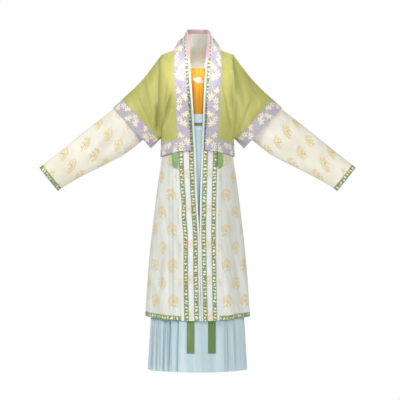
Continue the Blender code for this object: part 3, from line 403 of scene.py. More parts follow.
def pullBack(grid, normal, closed):
    # moves the outline in by half a seam's gap
    moved = grid.copy()

    def step(edge, nextLine, edgeNormal, ring):
        ahead = np.roll(edge, -1, axis=0) - edge
        inward = nextLine - edge
        square = np.cross(edgeNormal + np.roll(edgeNormal, -1, axis=0), ahead)
        square /= np.maximum(np.linalg.norm(square, axis=1), 1e-12)[:, None]
        square *= np.sign(np.sum(square * (inward + np.roll(inward, -1, axis=0)), axis=1))[:, None]
        before = np.roll(square, 1, axis=0)
        if not ring:
            square[-1], before[0] = square[-2], square[0]
        mitre = np.maximum(1 + np.sum(square * before, axis=1), 0.3)
        return (square + before) / mitre[:, None] * seamGap / 2

    moved[0] += step(grid[0], grid[1], normal[0], closed)
    moved[-1] += step(grid[-1], grid[-2], normal[-1], closed)
    if not closed:
        moved[:, 0] += step(grid[:, 0], grid[:, 1], normal[:, 0], False)
        moved[:, -1] += step(grid[:, -1], grid[:, -2], normal[:, -1], False)
    return moved


def shell(name, outer, inner, flat, closed=False):
    # a closed shell with its flat pattern as UV map: face material 0 outside, 1 inside
    rows, columns = outer.shape[:2]
    count = rows * columns
    last = columns if closed else columns - 1
    i, j = [k.ravel() for k in np.meshgrid(np.arange(rows - 1), np.arange(last), indexing="ij")]
    k, m = np.arange(last), np.arange(rows - 1)

    def corners(first, second, third, fourth):
        # each corner is (row, column, layer)
        return [np.broadcast_arrays(*corner) for corner in (first, second, third, fourth)]

    quads = [corners((i, j, 0), (i + 1, j, 0), (i + 1, j + 1, 0), (i, j + 1, 0)),
             corners((i, j, 1), (i, j + 1, 1), (i + 1, j + 1, 1), (i + 1, j, 1)),
             corners((0, k, 0), (0, k + 1, 0), (0, k + 1, 1), (0, k, 1)),
             corners((rows - 1, k, 0), (rows - 1, k, 1), (rows - 1, k + 1, 1), (rows - 1, k + 1, 0))]
    if not closed:
        quads += [corners((m, 0, 0), (m, 0, 1), (m + 1, 0, 1), (m + 1, 0, 0)),
                  corners((m, columns - 1, 0), (m + 1, columns - 1, 0), (m + 1, columns - 1, 1), (m, columns - 1, 1))]
    points, pattern, inside = [], [], []
    for order, quad in enumerate(quads):
        points.append(np.stack([layer * count + row * columns + column % columns for row, column, layer in quad], -1))
        pattern.append(np.stack([flat[row, column] for row, column, _ in quad], 1))
        inside.append(np.full(len(points[-1]), int(order == 1)))
    mesh = bpy.data.meshes.new(name)
    vertices = np.concatenate([outer.reshape(-1, 3), inner.reshape(-1, 3)])
    mesh.from_pydata(vertices.tolist(), [], np.concatenate(points).tolist())
    layerUV = mesh.uv_layers.new(name="flat")
    layerUV.data.foreach_set("uv", np.concatenate(pattern).astype(np.float32).ravel())
    mesh.polygons.foreach_set("material_index", np.concatenate(inside).astype(np.int32))
    mesh.update()
    mesh.shade_smooth()
    mesh.set_sharp_from_angle(angle=math.radians(42))
    made = bpy.data.objects.new(name, mesh)
    bpy.context.scene.collection.objects.link(made)
    return made


def cutSize(grid, closed=False):
    # the flat cut of a grid: width, length and area in metres
    flat = arcs(grid, closed)
    ring = np.concatenate([grid, grid[:, :1]], axis=1) if closed else grid
    a, b = ring[1:, 1:] - ring[:-1, :-1], ring[1:, :-1] - ring[:-1, 1:]
    area = float(np.linalg.norm(np.cross(a, b), axis=2).sum() / 2)
    wide, long = float(flat[:, -1, 0].max()), float(-flat[-1, :, 1].min())
    return wide, long, min(area, wide * long)


cuts = {}


def finishCloth(made, node, cut):
    # the shared last step of every cloth piece
    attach(made, "root")
    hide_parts(node)
    wide, long, area = cut
    cuts[made.name] = [round(wide, 3), round(long, 3), round(area, 4)]


# ---- wiring of node trees

class Wiring:
    def __init__(self, tree):
        self.tree, self.count = tree, 0

    def node(self, kind, **settings):
        made = self.tree.nodes.new(kind)
        made.location = (190 * (self.count // 6), -190 * (self.count % 6))
        self.count += 1
        for key, value in settings.items():
            setattr(made, key, value)
        return made

    def put(self, socket, value):
        if isinstance(value, bpy.types.NodeSocket):
            self.tree.links.new(value, socket)
        else:
            socket.default_value = value

    def math(self, operation, *values, clamp=False):
        made = self.node("ShaderNodeMath", operation=operation, use_clamp=clamp)
        for socket, value in zip(made.inputs, values):
            self.put(socket, value)
        return made.outputs[0]

    def vector(self, operation, *values):
        made = self.node("ShaderNodeVectorMath", operation=operation)
        for socket, value in zip(made.inputs, values):
            self.put(socket, value)
        return made.outputs["Value" if operation == "LENGTH" else "Vector"]

    def dot(self, first, second):
        made = self.node("ShaderNodeVectorMath", operation="DOT_PRODUCT")
        self.put(made.inputs[0], first)
        self.put(made.inputs[1], second)
        return made.outputs["Value"]

    def split(self, vector):
        made = self.node("ShaderNodeSeparateXYZ")
        self.put(made.inputs[0], vector)
        return made.outputs[0], made.outputs[1], made.outputs[2]

    def join(self, x, y, z=0.0):
        made = self.node("ShaderNodeCombineXYZ")
        for socket, value in zip(made.inputs, (x, y, z)):
            self.put(socket, value)
        return made.outputs[0]

    def below(self, value, limit, soft):
        # 1 where the value is under the limit
        made = self.node("ShaderNodeMapRange", interpolation_type="SMOOTHSTEP")
        for socket, number in zip(made.inputs, (value, limit - soft, limit + soft, 1.0, 0.0)):
            self.put(socket, number)
        return made.outputs[0]

    def span(self, value, low, high, toLow=0.0, toHigh=1.0):
        made = self.node("ShaderNodeMapRange")
        for socket, number in zip(made.inputs, (value, low, high, toLow, toHigh)):
            self.put(socket, number)
        return made.outputs[0]

    def blend(self, factor, first, second, kind="MIX"):
        made = self.node("ShaderNodeMix", data_type="RGBA", blend_type=kind, clamp_factor=True)
        for index, value in ((0, factor), (6, first), (7, second)):
            self.put(made.inputs[index], colour(value) if isinstance(value, (tuple, list)) else value)
        return made.outputs[2]

    def noise(self, vector, scale, detail=2.0, rough=0.5, dimensions="3D"):
        made = self.node("ShaderNodeTexNoise", noise_dimensions=dimensions)
        self.put(made.inputs["Vector"], vector)
        self.put(made.inputs["Scale"], scale)
        self.put(made.inputs["Detail"], detail)
        self.put(made.inputs["Roughness"], rough)
        return made.outputs["Fac"]

    def call(self, tree, **values):
        # places a node group and sets its named inputs
        made = self.node("ShaderNodeGroup")
        made.node_tree = tree
        for name, value in values.items():
            spaced = "".join(" " + c.lower() if c.isupper() else c for c in name).strip().capitalize()
            self.put(made.inputs[spaced], value)
        return made.outputs


def colour(values):
    # 0 to 255 as read on a screen, to the linear numbers that a shader wants
    share = [value / 255 for value in values[:3]]
    return tuple(s / 12.92 if s <= 0.04045 else ((s + 0.055) / 1.055)**2.4 for s in share) + (1.0,)


def newGroup(name, inputs, outputs, kind="ShaderNodeTree"):
    tree = bpy.data.node_groups.new(name, kind)
    short = {"V": "NodeSocketVector", "F": "NodeSocketFloat", "C": "NodeSocketColor", "G": "NodeSocketGeometry",
             "M": "NodeSocketMaterial"}
    for label, letter, value in inputs:
        socket = tree.interface.new_socket(label, in_out="INPUT", socket_type=short[letter])
        if value is not None:
            socket.default_value = value
    for label, letter in outputs:
        tree.interface.new_socket(label, in_out="OUTPUT", socket_type=short[letter])
    wires = Wiring(tree)
    start = wires.node("NodeGroupInput")
    end = wires.node("NodeGroupOutput")
    return tree, wires, start.outputs, end.inputs


# ---- shader groups: repeats, flowers, leaves, vines, weave, soft folds

def makeClothTile():
    # cuts a flat cloth into cells of a printed repeat, every other column shifted
    tree, w, given, out = newGroup(
        "clothTile",
        [("Place", "V", None), ("Width", "F", 0.05), ("Height", "F", 0.14), ("Stagger", "F", 0.5),
         ("Shift across", "F", 0.0), ("Shift along", "F", 0.0)],
        [("Local", "V"), ("Random", "F")])
    x, y, _ = w.split(given["Place"])
    x = w.math("ADD", x, given["Shift across"])
    column = w.math("FLOOR", w.math("DIVIDE", x, given["Width"]))
    odd = w.math("FLOORED_MODULO", column, 2.0)
    localX = w.math("SUBTRACT", x, w.math("MULTIPLY", w.math("ADD", column, 0.5), given["Width"]))
    push = w.math("MULTIPLY", w.math("MULTIPLY", odd, given["Stagger"]), given["Height"])
    y = w.math("ADD", w.math("ADD", y, given["Shift along"]), push)
    row = w.math("FLOOR", w.math("DIVIDE", y, given["Height"]))
    localY = w.math("SUBTRACT", y, w.math("MULTIPLY", w.math("ADD", row, 0.5), given["Height"]))
    chance = w.node("ShaderNodeTexWhiteNoise", noise_dimensions="2D")
    w.put(chance.inputs["Vector"], w.join(column, row))
    w.put(out["Local"], w.join(localX, localY))
    w.put(out["Random"], chance.outputs["Value"])
    return tree


def makeFlower():
    tree, w, given, out = newGroup(
        "flower",
        [("Place", "V", None), ("Centre", "V", (0, 0, 0)), ("Size", "F", 0.02), ("Turn", "F", 0.0),
         ("Petals", "F", 6.0), ("Pointed", "F", 0.6), ("Depth", "F", 0.5)],
        [("Petal", "F"), ("Line", "F"), ("Heart", "F"), ("Reach", "F")])
    dx, dy, _ = w.split(w.vector("SUBTRACT", given["Place"], given["Centre"]))
    reach = w.math("DIVIDE", w.math("SQRT", w.math("ADD", w.math("MULTIPLY", dx, dx), w.math("MULTIPLY", dy, dy))),
                   given["Size"])
    angle = w.math("ADD", w.math("ARCTAN2", dy, dx), given["Turn"])
    wave = w.math("ABSOLUTE", w.math("COSINE", w.math("MULTIPLY", w.math("MULTIPLY", angle, 0.5), given["Petals"])))
    tip = w.math("POWER", wave, given["Pointed"])
    edge = w.math("ADD", w.math("SUBTRACT", 1.0, given["Depth"]), w.math("MULTIPLY", tip, given["Depth"]))
    away = w.math("SUBTRACT", reach, edge)
    petal = w.below(away, 0.0, 0.05)
    rimLine = w.below(w.math("ABSOLUTE", away), 0.085, 0.045)
    vein = w.math("MULTIPLY", w.below(wave, 0.16, 0.10), w.below(reach, 0.70, 0.05))
    w.put(out["Petal"], petal)
    w.put(out["Line"], w.math("MAXIMUM", rimLine, vein))
    w.put(out["Heart"], w.below(reach, 0.20, 0.06))
    w.put(out["Reach"], reach)
    return tree


def makeLeaf():
    tree, w, given, out = newGroup(
        "leaf",
        [("Place", "V", None), ("Centre", "V", (0, 0, 0)), ("Long", "F", 0.01), ("Wide", "F", 0.003),
         ("Turn", "F", 0.0), ("Bend", "F", 0.0)],
        [("Mask", "F"), ("Line", "F")])
    turned = w.node("ShaderNodeVectorRotate", rotation_type="Z_AXIS")
    w.put(turned.inputs["Vector"], w.vector("SUBTRACT", given["Place"], given["Centre"]))
    w.put(turned.inputs["Angle"], given["Turn"])
    x, y, _ = w.split(turned.outputs[0])
    x = w.math("DIVIDE", x, given["Long"])
    square = w.math("MULTIPLY", x, x)
    y = w.math("SUBTRACT", y, w.math("MULTIPLY", square, given["Bend"]))
    shape = w.math("SUBTRACT", 1.0, square)
    away = w.math("SUBTRACT", w.math("DIVIDE", w.math("ABSOLUTE", y), given["Wide"]), shape)
    w.put(out["Mask"], w.below(away, 0.0, 0.15))
    w.put(out["Line"], w.math("MULTIPLY", w.below(w.math("ABSOLUTE", away), 0.26, 0.14), w.below(square, 1.2, 0.1)))
    return tree


def makeVine():
    tree, w, given, out = newGroup(
        "vine",
        [("Place", "V", None), ("Period", "F", 0.17), ("Swing", "F", 0.01), ("Thick", "F", 0.0008),
         ("Shift", "F", 0.0)],
        [("Mask", "F")])
    x, y, _ = w.split(given["Place"])
    turn = w.math("DIVIDE", w.math("MULTIPLY", w.math("ADD", y, given["Shift"]), 2 * math.pi), given["Period"])
    away = w.math("ABSOLUTE", w.math("SUBTRACT", x, w.math("MULTIPLY", w.math("SINE", turn), given["Swing"])))
    w.put(out["Mask"], w.below(w.math("DIVIDE", away, given["Thick"]), 1.0, 0.35))
    return tree


def makeWeave():
    # crossing threads with a little slub, for bump and for a faint tone
    tree, w, given, out = newGroup(
        "weave", [("Place", "V", None), ("Threads", "F", 900.0), ("Slub", "F", 0.4)],
        [("Height", "F"), ("Tone", "F")])
    x, y, _ = w.split(given["Place"])
    turn = w.math("MULTIPLY", given["Threads"], 2 * math.pi)
    cross = w.math("MULTIPLY", w.math("SINE", w.math("MULTIPLY", x, turn)), w.math("SINE", w.math("MULTIPLY", y, turn)))
    slubX = w.noise(w.join(w.math("MULTIPLY", x, 9.0), w.math("MULTIPLY", y, 260.0)), 1.0, 2.0)
    slubY = w.noise(w.join(w.math("MULTIPLY", x, 260.0), w.math("MULTIPLY", y, 9.0)), 1.0, 2.0)
    slub = w.math("MULTIPLY", w.math("SUBTRACT", w.math("ADD", slubX, slubY), 1.0), given["Slub"])
    w.put(out["Height"], w.math("ADD", w.math("MULTIPLY_ADD", cross, 0.25, 0.5), slub))
    w.put(out["Tone"], w.math("ADD", slub, 0.5))
    return tree


def makeSoftFolds():
    # small wrinkles between the modelled folds; longer along the cloth than across
    tree, w, given, out = newGroup(
        "softFolds", [("Place", "V", None), ("Across", "F", 16.0), ("Along", "F", 4.0), ("Tilt", "F", 0.25)],
        [("Height", "F")])
    x, y, z = w.split(given["Place"])
    lean = w.math("ADD", x, w.math("MULTIPLY", z, given["Tilt"]))
    at = w.join(w.math("MULTIPLY", lean, given["Across"]), w.math("MULTIPLY", y, given["Across"]),
                w.math("MULTIPLY", z, given["Along"]))
    broad = w.noise(at, 1.0, 1.0)
    fine = w.noise(at, 3.1, 2.0)
    w.put(out["Height"], w.math("MULTIPLY_ADD", fine, 0.3, broad))
    return tree


def makeCrease():
    # one pressed crease in front, as a mask for painted shade and a bump, from a first to a last point; a negative
    # width turns its soft side over
    tree, w, given, out = newGroup(
        "crease", [("Place", "V", None), ("First", "V", (0, 0, 0)), ("Last", "V", (0, 0, -1)), ("Width", "F", 0.012)],
        [("Mask", "F")])
    x, y, z = w.split(given["Place"])
    away = w.vector("SUBTRACT", w.join(x, 0.0, z), given["First"])
    along = w.vector("SUBTRACT", given["Last"], given["First"])
    long = w.dot(along, along)
    share = w.span(w.math("DIVIDE", w.dot(away, along), long), 0.0, 1.0)
    ax, _, az = w.split(away)
    lx, _, lz = w.split(along)
    aside = w.math("DIVIDE", w.math("SUBTRACT", w.math("MULTIPLY", az, lx), w.math("MULTIPLY", ax, lz)), w.math("SQRT", long))
    aside = w.math("DIVIDE", aside, given["Width"])
    rise = w.span(aside, -0.22, 0.0)
    fall = w.math("POWER", w.span(aside, 0.0, 1.0, 1.0, 0.0), 1.6)
    ends = w.span(w.math("MULTIPLY", share, w.math("SUBTRACT", 1.0, share)), 0.0, 0.16)
    w.put(out["Mask"], w.math("MULTIPLY", w.math("MULTIPLY", rise, fall), w.math("MULTIPLY", ends, w.below(y, 0.0, 0.01))))
    return tree


def makeLily():
    # a flower from the side: five slim petals that fan out from one foot
    tree, w, given, out = newGroup(
        "lily", [("Place", "V", None), ("Centre", "V", (0, 0, 0)), ("Size", "F", 0.02), ("Turn", "F", 0.0)],
        [("Petal", "F"), ("Line", "F"), ("Heart", "F")])
    turned = w.node("ShaderNodeVectorRotate", rotation_type="Z_AXIS")
    w.put(turned.inputs["Vector"], w.vector("SUBTRACT", given["Place"], given["Centre"]))
    w.put(turned.inputs["Angle"], given["Turn"])
    x, y, _ = w.split(turned.outputs[0])
    place = w.join(w.math("DIVIDE", x, given["Size"]), w.math("DIVIDE", y, given["Size"]))
    petal = line = None
    for angle, long, wide, bend in ((-1.32, 0.40, 0.13, 0.16), (-0.66, 0.47, 0.15, 0.08), (0.04, 0.50, 0.15, 0.0),
                                    (0.72, 0.45, 0.14, -0.09), (1.40, 0.38, 0.12, -0.16)):
        centre = (long * math.sin(angle), long * math.cos(angle), 0)
        leaf = w.call(groups["leaf"], Place=place, Centre=centre, Long=long, Wide=wide, Turn=angle - math.pi / 2, Bend=bend)
        petal = leaf["Mask"] if petal is None else w.math("MAXIMUM", petal, leaf["Mask"])
        line = leaf["Line"] if line is None else w.math("MAXIMUM", line, leaf["Line"])
    w.put(out["Petal"], petal)
    w.put(out["Line"], line)
    w.put(out["Heart"], w.call(groups["leaf"], Place=place, Centre=(0, -0.12, 0), Long=0.20, Wide=0.07, Turn=math.pi / 2)["Mask"])
    return tree


def makeSprig():
    # one upright bouquet: five small blossoms in a diamond, leaves between them and a stem
    tree, w, given, out = newGroup(
        "sprig", [("Place", "V", None), ("Size", "F", 1.0), ("Lean", "F", 0.0)], [("Gold", "F"), ("Pale", "F"), ("Mauve", "F")])
    turned = w.node("ShaderNodeVectorRotate", rotation_type="Z_AXIS")
    w.put(turned.inputs["Vector"], given["Place"])
    w.put(turned.inputs["Angle"], given["Lean"])
    x, y, _ = w.split(turned.outputs[0])
    x, y = w.math("DIVIDE", x, given["Size"]), w.math("DIVIDE", y, given["Size"])
    place = w.join(x, y)
    mirrored = w.join(w.math("ABSOLUTE", x), y)
    gold = w.call(groups["leaf"], Place=place, Centre=(0.0005, -0.0090, 0), Long=0.0180, Wide=0.0011, Turn=1.62)["Mask"]
    pale = mauve = None
    for where, centre, size, petals, turn in (
            (place, (0.0010, 0.0190, 0), 0.0062, 5.0, 0.4), (place, (-0.0020, 0.0030, 0), 0.0070, 5.0, 1.2),
            (mirrored, (0.0150, 0.0085, 0), 0.0056, 5.0, 0.1), (place, (0.0125, -0.0100, 0), 0.0052, 5.0, 0.7),
            (place, (-0.0140, -0.0075, 0), 0.0046, 5.0, 0.2)):
        bloom = w.call(groups["flower"], Place=where, Centre=centre, Size=size, Petals=petals, Turn=turn)
        gold = w.math("MAXIMUM", gold, bloom["Line"])
        pale = bloom["Petal"] if pale is None else w.math("MAXIMUM", pale, bloom["Petal"])
        mauve = bloom["Heart"] if mauve is None else w.math("MAXIMUM", mauve, bloom["Heart"])
    for centre, long, wide, turn in (((0.0085, 0.0150, 0), 0.0060, 0.0020, -0.9), ((0.0075, -0.0030, 0), 0.0070, 0.0018, -0.5),
                                     ((0.0205, 0.0000, 0), 0.0050, 0.0017, 0.7), ((0.0060, -0.0190, 0), 0.0070, 0.0019, 0.9)):
        leaf = w.call(groups["leaf"], Place=mirrored, Centre=centre, Long=long, Wide=wide, Turn=turn)
        gold = w.math("MAXIMUM", gold, leaf["Line"])
        pale = w.math("MAXIMUM", pale, leaf["Mask"])
    w.put(out["Gold"], gold)
    w.put(out["Pale"], pale)
    w.put(out["Mauve"], mauve)
    return tree


groups = {}
for makeGroup, groupName in ((makeClothTile, "clothTile"), (makeFlower, "flower"), (makeLeaf, "leaf"), (makeVine, "vine"),
                             (makeWeave, "weave"), (makeSoftFolds, "softFolds"), (makeCrease, "crease")):
    groups[groupName] = makeGroup()
groups["lily"] = makeLily()
groups["sprig"] = makeSprig()
print("stage: shader groups made")


# ---- materials

def startMaterial(name):
    made = bpy.data.materials.new(name)
    made.use_nodes = True
    made.node_tree.nodes.clear()
    w = Wiring(made.node_tree)
    places = w.node("ShaderNodeTexCoord")
    flat = w.node("ShaderNodeUVMap", uv_map="flat").outputs[0]
    return made, w, flat, places.outputs["Object"]


def endMaterial(w, base, look, heights=(), roughness=None, metallic=None):
    # heights are (socket, distance in metres) for the bumps, laid one over the other
    shader = w.node("ShaderNodeBsdfPrincipled")
    end = w.node("ShaderNodeOutputMaterial")
    w.put(shader.inputs["Base Color"], base)
    w.put(shader.inputs["Roughness"], look["roughness"] if roughness is None else roughness)
    if metallic is not None:
        w.put(shader.inputs["Metallic"], metallic)
    shader.inputs["Specular IOR Level"].default_value = look.get("specular", 0.08)
    shader.inputs["Sheen Weight"].default_value = look.get("sheen", 0.0)
    shader.inputs["Sheen Roughness"].default_value = look.get("sheenRoughness", 0.5)
    shader.inputs["Sheen Tint"].default_value = colour(look.get("sheenTint", (255, 255, 255)))
    normal = None
    for height, distance in heights:
        bump = w.node("ShaderNodeBump")
        bump.inputs["Distance"].default_value = distance
        bump.inputs["Strength"].default_value = 1.0
        w.put(bump.inputs["Height"], height)
        if normal is not None:
            w.put(bump.inputs["Normal"], normal)
        normal = bump.outputs[0]
    if normal is not None:
        w.put(shader.inputs["Normal"], normal)
    w.put(end.inputs["Surface"], shader.outputs[0])


def clothBumps(w, flat, place, look):
    weave = w.call(groups["weave"], Place=flat, Threads=look.get("threads", 900.0), Slub=look.get("slub", 0.3))
    folds = w.call(groups["softFolds"], Place=place, Across=look.get("foldsAcross", 16.0),
                   Along=look.get("foldsAlong", 4.0), Tilt=look.get("foldsTilt", 0.25))["Height"]
    bumps = [(folds, look.get("foldDepth", 0.006)), (weave["Height"], look.get("weaveDepth", 0.00004))]
    return weave["Tone"], folds, bumps


def clothBase(w, look, tone, folds):
    # the ground colour, darkened by painted shade in the hollows of the small wrinkles, with the weave's faint tone
    ground = w.blend(w.span(folds, 0.45, 0.85), look["deep"], look["light"])
    return w.blend(w.math("MULTIPLY", tone, look.get("toneShare", 0.10)), ground, look["deep"])


def paintCreaseShade(w, place, base, bumps, creases, shade, depth=0.0022):
    # lays a list of creases over a cloth: painted shade in the hollow and a bump for its edge
    creaseShadeMask = None
    for xFirst, zFirst, xLast, zLast, width, strength in zip(*creases.values()):
        one = w.call(groups["crease"], Place=place, First=(xFirst, 0, zFirst), Last=(xLast, 0, zLast), Width=width)["Mask"]
        one = w.math("MULTIPLY", one, strength)
        creaseShadeMask = one if creaseShadeMask is None else w.math("MAXIMUM", creaseShadeMask, one)
    bumps.append((w.math("SUBTRACT", 1.0, creaseShadeMask), depth))
    return w.blend(creaseShadeMask, base, shade)


# where the painted crease shade and its bump go: xFirst, zFirst, xLast, zLast, width and strength, the strength being
# how dark the painted shade is
jacketCreaseShade = table(
    "xFirst zFirst xLast zLast width strength",
    (-0.155, 0.010, -0.155, -0.330, 0.020, 0.50), (-0.104, -0.165, -0.154, -0.335, 0.016, 0.45), (-0.120, -0.100, -0.140, -0.310, 0.013, 0.22),
    (-0.160, -0.205, -0.163, -0.330, -0.020, 0.65), (-0.176, -0.320, -0.236, -0.180, 0.014, 0.22), (-0.172, -0.300, -0.215, -0.090, 0.018, 0.16),
    (0.140, 0.008, 0.158, -0.190, 0.018, 0.38), (0.088, -0.080, 0.132, -0.320, 0.016, 0.24), (0.158, -0.190, 0.146, -0.330, 0.014, 0.24),
    (0.162, -0.330, 0.225, -0.180, 0.016, 0.20), (0.196, -0.120, 0.262, -0.215, 0.014, 0.14), (-0.074, 0.010, -0.082, -0.250, 0.018, 0.10))
robeCreaseShade = table(
    "xFirst zFirst xLast zLast width strength",
    (-0.116, -0.400, -0.112, -1.130, 0.016, 0.20), (-0.101, -0.420, -0.097, -1.130, 0.009, 0.42), (-0.150, -0.520, -0.190, -1.120, 0.022, 0.12),
    (0.092, -0.420, 0.104, -1.120, 0.012, 0.14), (0.112, -0.560, 0.176, -1.120, 0.018, 0.12), (0.156, -0.420, 0.212, -0.900, 0.018, 0.10))
skirtCreaseShade = table(
    "xFirst zFirst xLast zLast width strength",
    (-0.182, -1.080, -0.186, -1.290, 0.012, 0.55), (-0.165, -1.080, -0.168, -1.290, 0.010, 0.60), (-0.150, -1.080, -0.152, -1.290, 0.009, 0.65),
    (-0.136, -1.080, -0.138, -1.290, 0.009, 0.65), (-0.120, -1.080, -0.121, -1.290, 0.008, 0.50), (-0.104, -1.080, -0.105, -1.290, -0.008, 0.55),
    (0.108, -1.080, 0.110, -1.290, 0.008, 0.45), (0.120, -1.080, 0.122, -1.290, -0.008, 0.35), (0.146, -1.080, 0.149, -1.290, 0.010, 0.35),
    (0.168, -1.080, 0.172, -1.290, 0.012, 0.30))

# each look's two colours are a lit and a shaded copy of its cloth: clothBase paints shade into the small wrinkles with
# the darker one, which also gives the weave its faint darker tone
looks = dict(
    greenSatin=dict(light=(199, 197, 120), deep=(181, 178, 98), roughness=0.52, sheen=0.0, specular=0.12,
                    sheenTint=(250, 248, 205), threads=1100.0, foldDepth=0.0045, foldsAcross=20.0, foldsAlong=5.0),
    greenInside=dict(light=(182, 178, 104), deep=(160, 156, 84), roughness=0.7),
    lilac=dict(light=(196, 184, 205), deep=(182, 169, 192), roughness=0.7, sheen=0.0, foldDepth=0.003),
    robeBody=dict(light=(230, 231, 222), deep=(214, 216, 204), roughness=0.75, sheen=0.08, foldDepth=0.006,
                  foldsAcross=34.0, foldsAlong=4.5),
    robeSleeve=dict(light=(244, 239, 225), deep=(232, 226, 206), roughness=0.75, sheen=0.12, foldDepth=0.009,
                    foldsAcross=14.0, foldsAlong=9.0),
    robeInside=dict(light=(238, 235, 222), deep=(222, 218, 200), roughness=0.85),
    whiteBand=dict(light=(238, 236, 236), deep=(224, 222, 221), roughness=0.75, sheen=0.1, foldDepth=0.003),
    pink=dict(light=(216, 180, 184), deep=(196, 156, 164), roughness=0.7, sheen=0.1, foldDepth=0.002),
    orange=dict(light=(234, 174, 60), deep=(206, 138, 32), roughness=0.6, sheen=0.2, foldDepth=0.004,
                foldsAcross=60.0, foldsAlong=4.0, foldsTilt=0.0),
    waist=dict(light=(208, 222, 230), deep=(190, 208, 218), roughness=0.7, sheen=0.1, foldDepth=0.002),
    skirt=dict(light=(204, 221, 224), deep=(180, 202, 207), roughness=0.8, sheen=0.06, foldDepth=0.003,
               foldsAcross=30.0, foldsAlong=1.6, foldsTilt=0.0),
    ribbon=dict(light=(122, 150, 92), deep=(100, 128, 74), roughness=0.6, sheen=0.2, foldDepth=0.003),
    tie=dict(light=(158, 188, 124), deep=(136, 166, 104), roughness=0.6, sheen=0.2, foldDepth=0.003),
    foil=dict(roughness=0.42, sheen=0.0, specular=0.3),
    thread=dict(light=(232, 230, 218), deep=(220, 218, 204), roughness=0.8),
    jacketThread=dict(light=(204, 200, 140), deep=(190, 186, 120), roughness=0.7))


def plainMaterial(name, look):
    made, w, flat, place = startMaterial(name)
    tone, folds, bumps = clothBumps(w, flat, place, look)
    endMaterial(w, clothBase(w, look, tone, folds), look, bumps)
    return made


def greenSatinMaterial():
    # tone on tone: large open flowers with leaves, woven smooth in a duller ground
    look = looks["greenSatin"]
    made, w, flat, place = startMaterial("greenSatin")
    tone, folds, bumps = clothBumps(w, flat, place, look)
    tile = w.call(groups["clothTile"], Place=flat, Width=0.064, Height=0.078, ShiftAcross=0.012, ShiftAlong=0.03)
    bloom = w.call(groups["flower"], Place=tile["Local"], Centre=(-0.008, 0.012, 0), Size=0.019, Petals=5.0, Turn=0.4)
    bud = w.call(groups["flower"], Place=tile["Local"], Centre=(0.018, -0.020, 0), Size=0.010, Petals=5.0, Turn=1.1)
    motif = w.math("MAXIMUM", bloom["Line"], bud["Line"])
    for centre, turn in (((0.012, 0.020, 0), -0.7), ((-0.020, -0.016, 0), 0.6), ((0.002, -0.024, 0), 1.5)):
        leaf = w.call(groups["leaf"], Place=tile["Local"], Centre=centre, Long=0.012, Wide=0.0042, Turn=turn)
        motif = w.math("MAXIMUM", motif, leaf["Line"])
    motif = w.math("MAXIMUM", motif, w.math("MULTIPLY", w.math("MAXIMUM", bloom["Petal"], bud["Petal"]), 0.45))
    ground = clothBase(w, look, tone, folds)
    base = w.blend(w.math("MULTIPLY", motif, 0.20), ground, (208, 205, 138))
    # painted shade in the jacket's creases, a dark olive
    base = paintCreaseShade(w, place, base, bumps, jacketCreaseShade, (96, 94, 36), depth=0.0045)
    rough = w.span(motif, 0.0, 1.0, 0.46, 0.34)
    endMaterial(w, base, look, bumps + [(motif, 0.00012)], roughness=rough)
    return made


def lilacMaterial(name, swap=False, wide=0.050, binding=False):
    # lily-like flowers on a waving stem; the repeat runs along the band
    look = looks["lilac"]
    made, w, flat, place = startMaterial(name)
    tone, folds, bumps = clothBumps(w, flat, place, look)
    x, y, _ = w.split(flat)
    across = w.math("SUBTRACT", x, wide / 2)
    local = w.call(groups["clothTile"], Place=w.join(across, y), Width=1.0, Height=0.176, Stagger=0.0,
                   ShiftAcross=0.5, ShiftAlong=0.148)["Local"]
    base = clothBase(w, look, tone, folds)
    vines = w.math("MAXIMUM",
                   w.call(groups["vine"], Place=local, Period=0.176, Swing=0.015, Thick=0.0015, Shift=0.02)["Mask"],
                   w.call(groups["vine"], Place=local, Period=0.088, Swing=0.019, Thick=0.0012, Shift=0.05)["Mask"])
    base = w.blend(w.math("MULTIPLY", vines, 0.90), base, (216, 208, 150))
    teal = None
    for centre, long, thick, turn in (
            ((0.017, 0.066, 0), 0.015, 0.0022, 1.0), ((-0.018, 0.050, 0), 0.014, 0.0020, -0.7), ((0.018, 0.016, 0), 0.014, 0.0023, -1.1),
            ((-0.018, 0.004, 0), 0.013, 0.0020, 0.8), ((0.019, -0.034, 0), 0.014, 0.0020, 0.6), ((-0.019, -0.044, 0), 0.014, 0.0022, -1.2),
            ((0.012, -0.080, 0), 0.013, 0.0021, 0.4), ((-0.017, 0.084, 0), 0.013, 0.0019, 0.5)):
        leaf = w.call(groups["leaf"], Place=local, Centre=centre, Long=long, Wide=thick, Turn=turn, Bend=0.004)["Mask"]
        teal = leaf if teal is None else w.math("MAXIMUM", teal, leaf)
    base = w.blend(w.math("MULTIPLY", teal, 0.80), base, (112, 190, 174))
    blooms = [("lily", dict(Centre=centre, Size=size, Turn=turn)) for centre, size, turn in (
        ((0.000, 0.030, 0), 0.0250, 0.5), ((-0.006, -0.006, 0), 0.0200, -2.3), ((0.008, -0.042, 0), 0.0235, 0.9),
        ((-0.006, -0.080, 0), 0.0210, -0.7), ((0.010, 0.078, 0), 0.0225, 2.7))]
    blooms += [("flower", dict(Centre=centre, Size=size, Petals=6.0, Turn=turn, Pointed=2.0, Depth=0.84)) for centre, size, turn in (
        ((-0.011, 0.056, 0), 0.0140, 0.3), ((-0.008, -0.050, 0), 0.0150, 0.8))]
    for kind, values in blooms:
        bloom = w.call(groups[kind], Place=local, **values)
        base = w.blend(w.math("MULTIPLY", bloom["Petal"], 0.90), base, (246, 243, 234))
        base = w.blend(w.math("MULTIPLY", bloom["Line"], 0.80), base, (214, 200, 128))
        base = w.blend(w.math("MULTIPLY", bloom["Heart"], 0.85), base, (206, 188, 100))
    endMaterial(w, base, look, bumps)
    return made


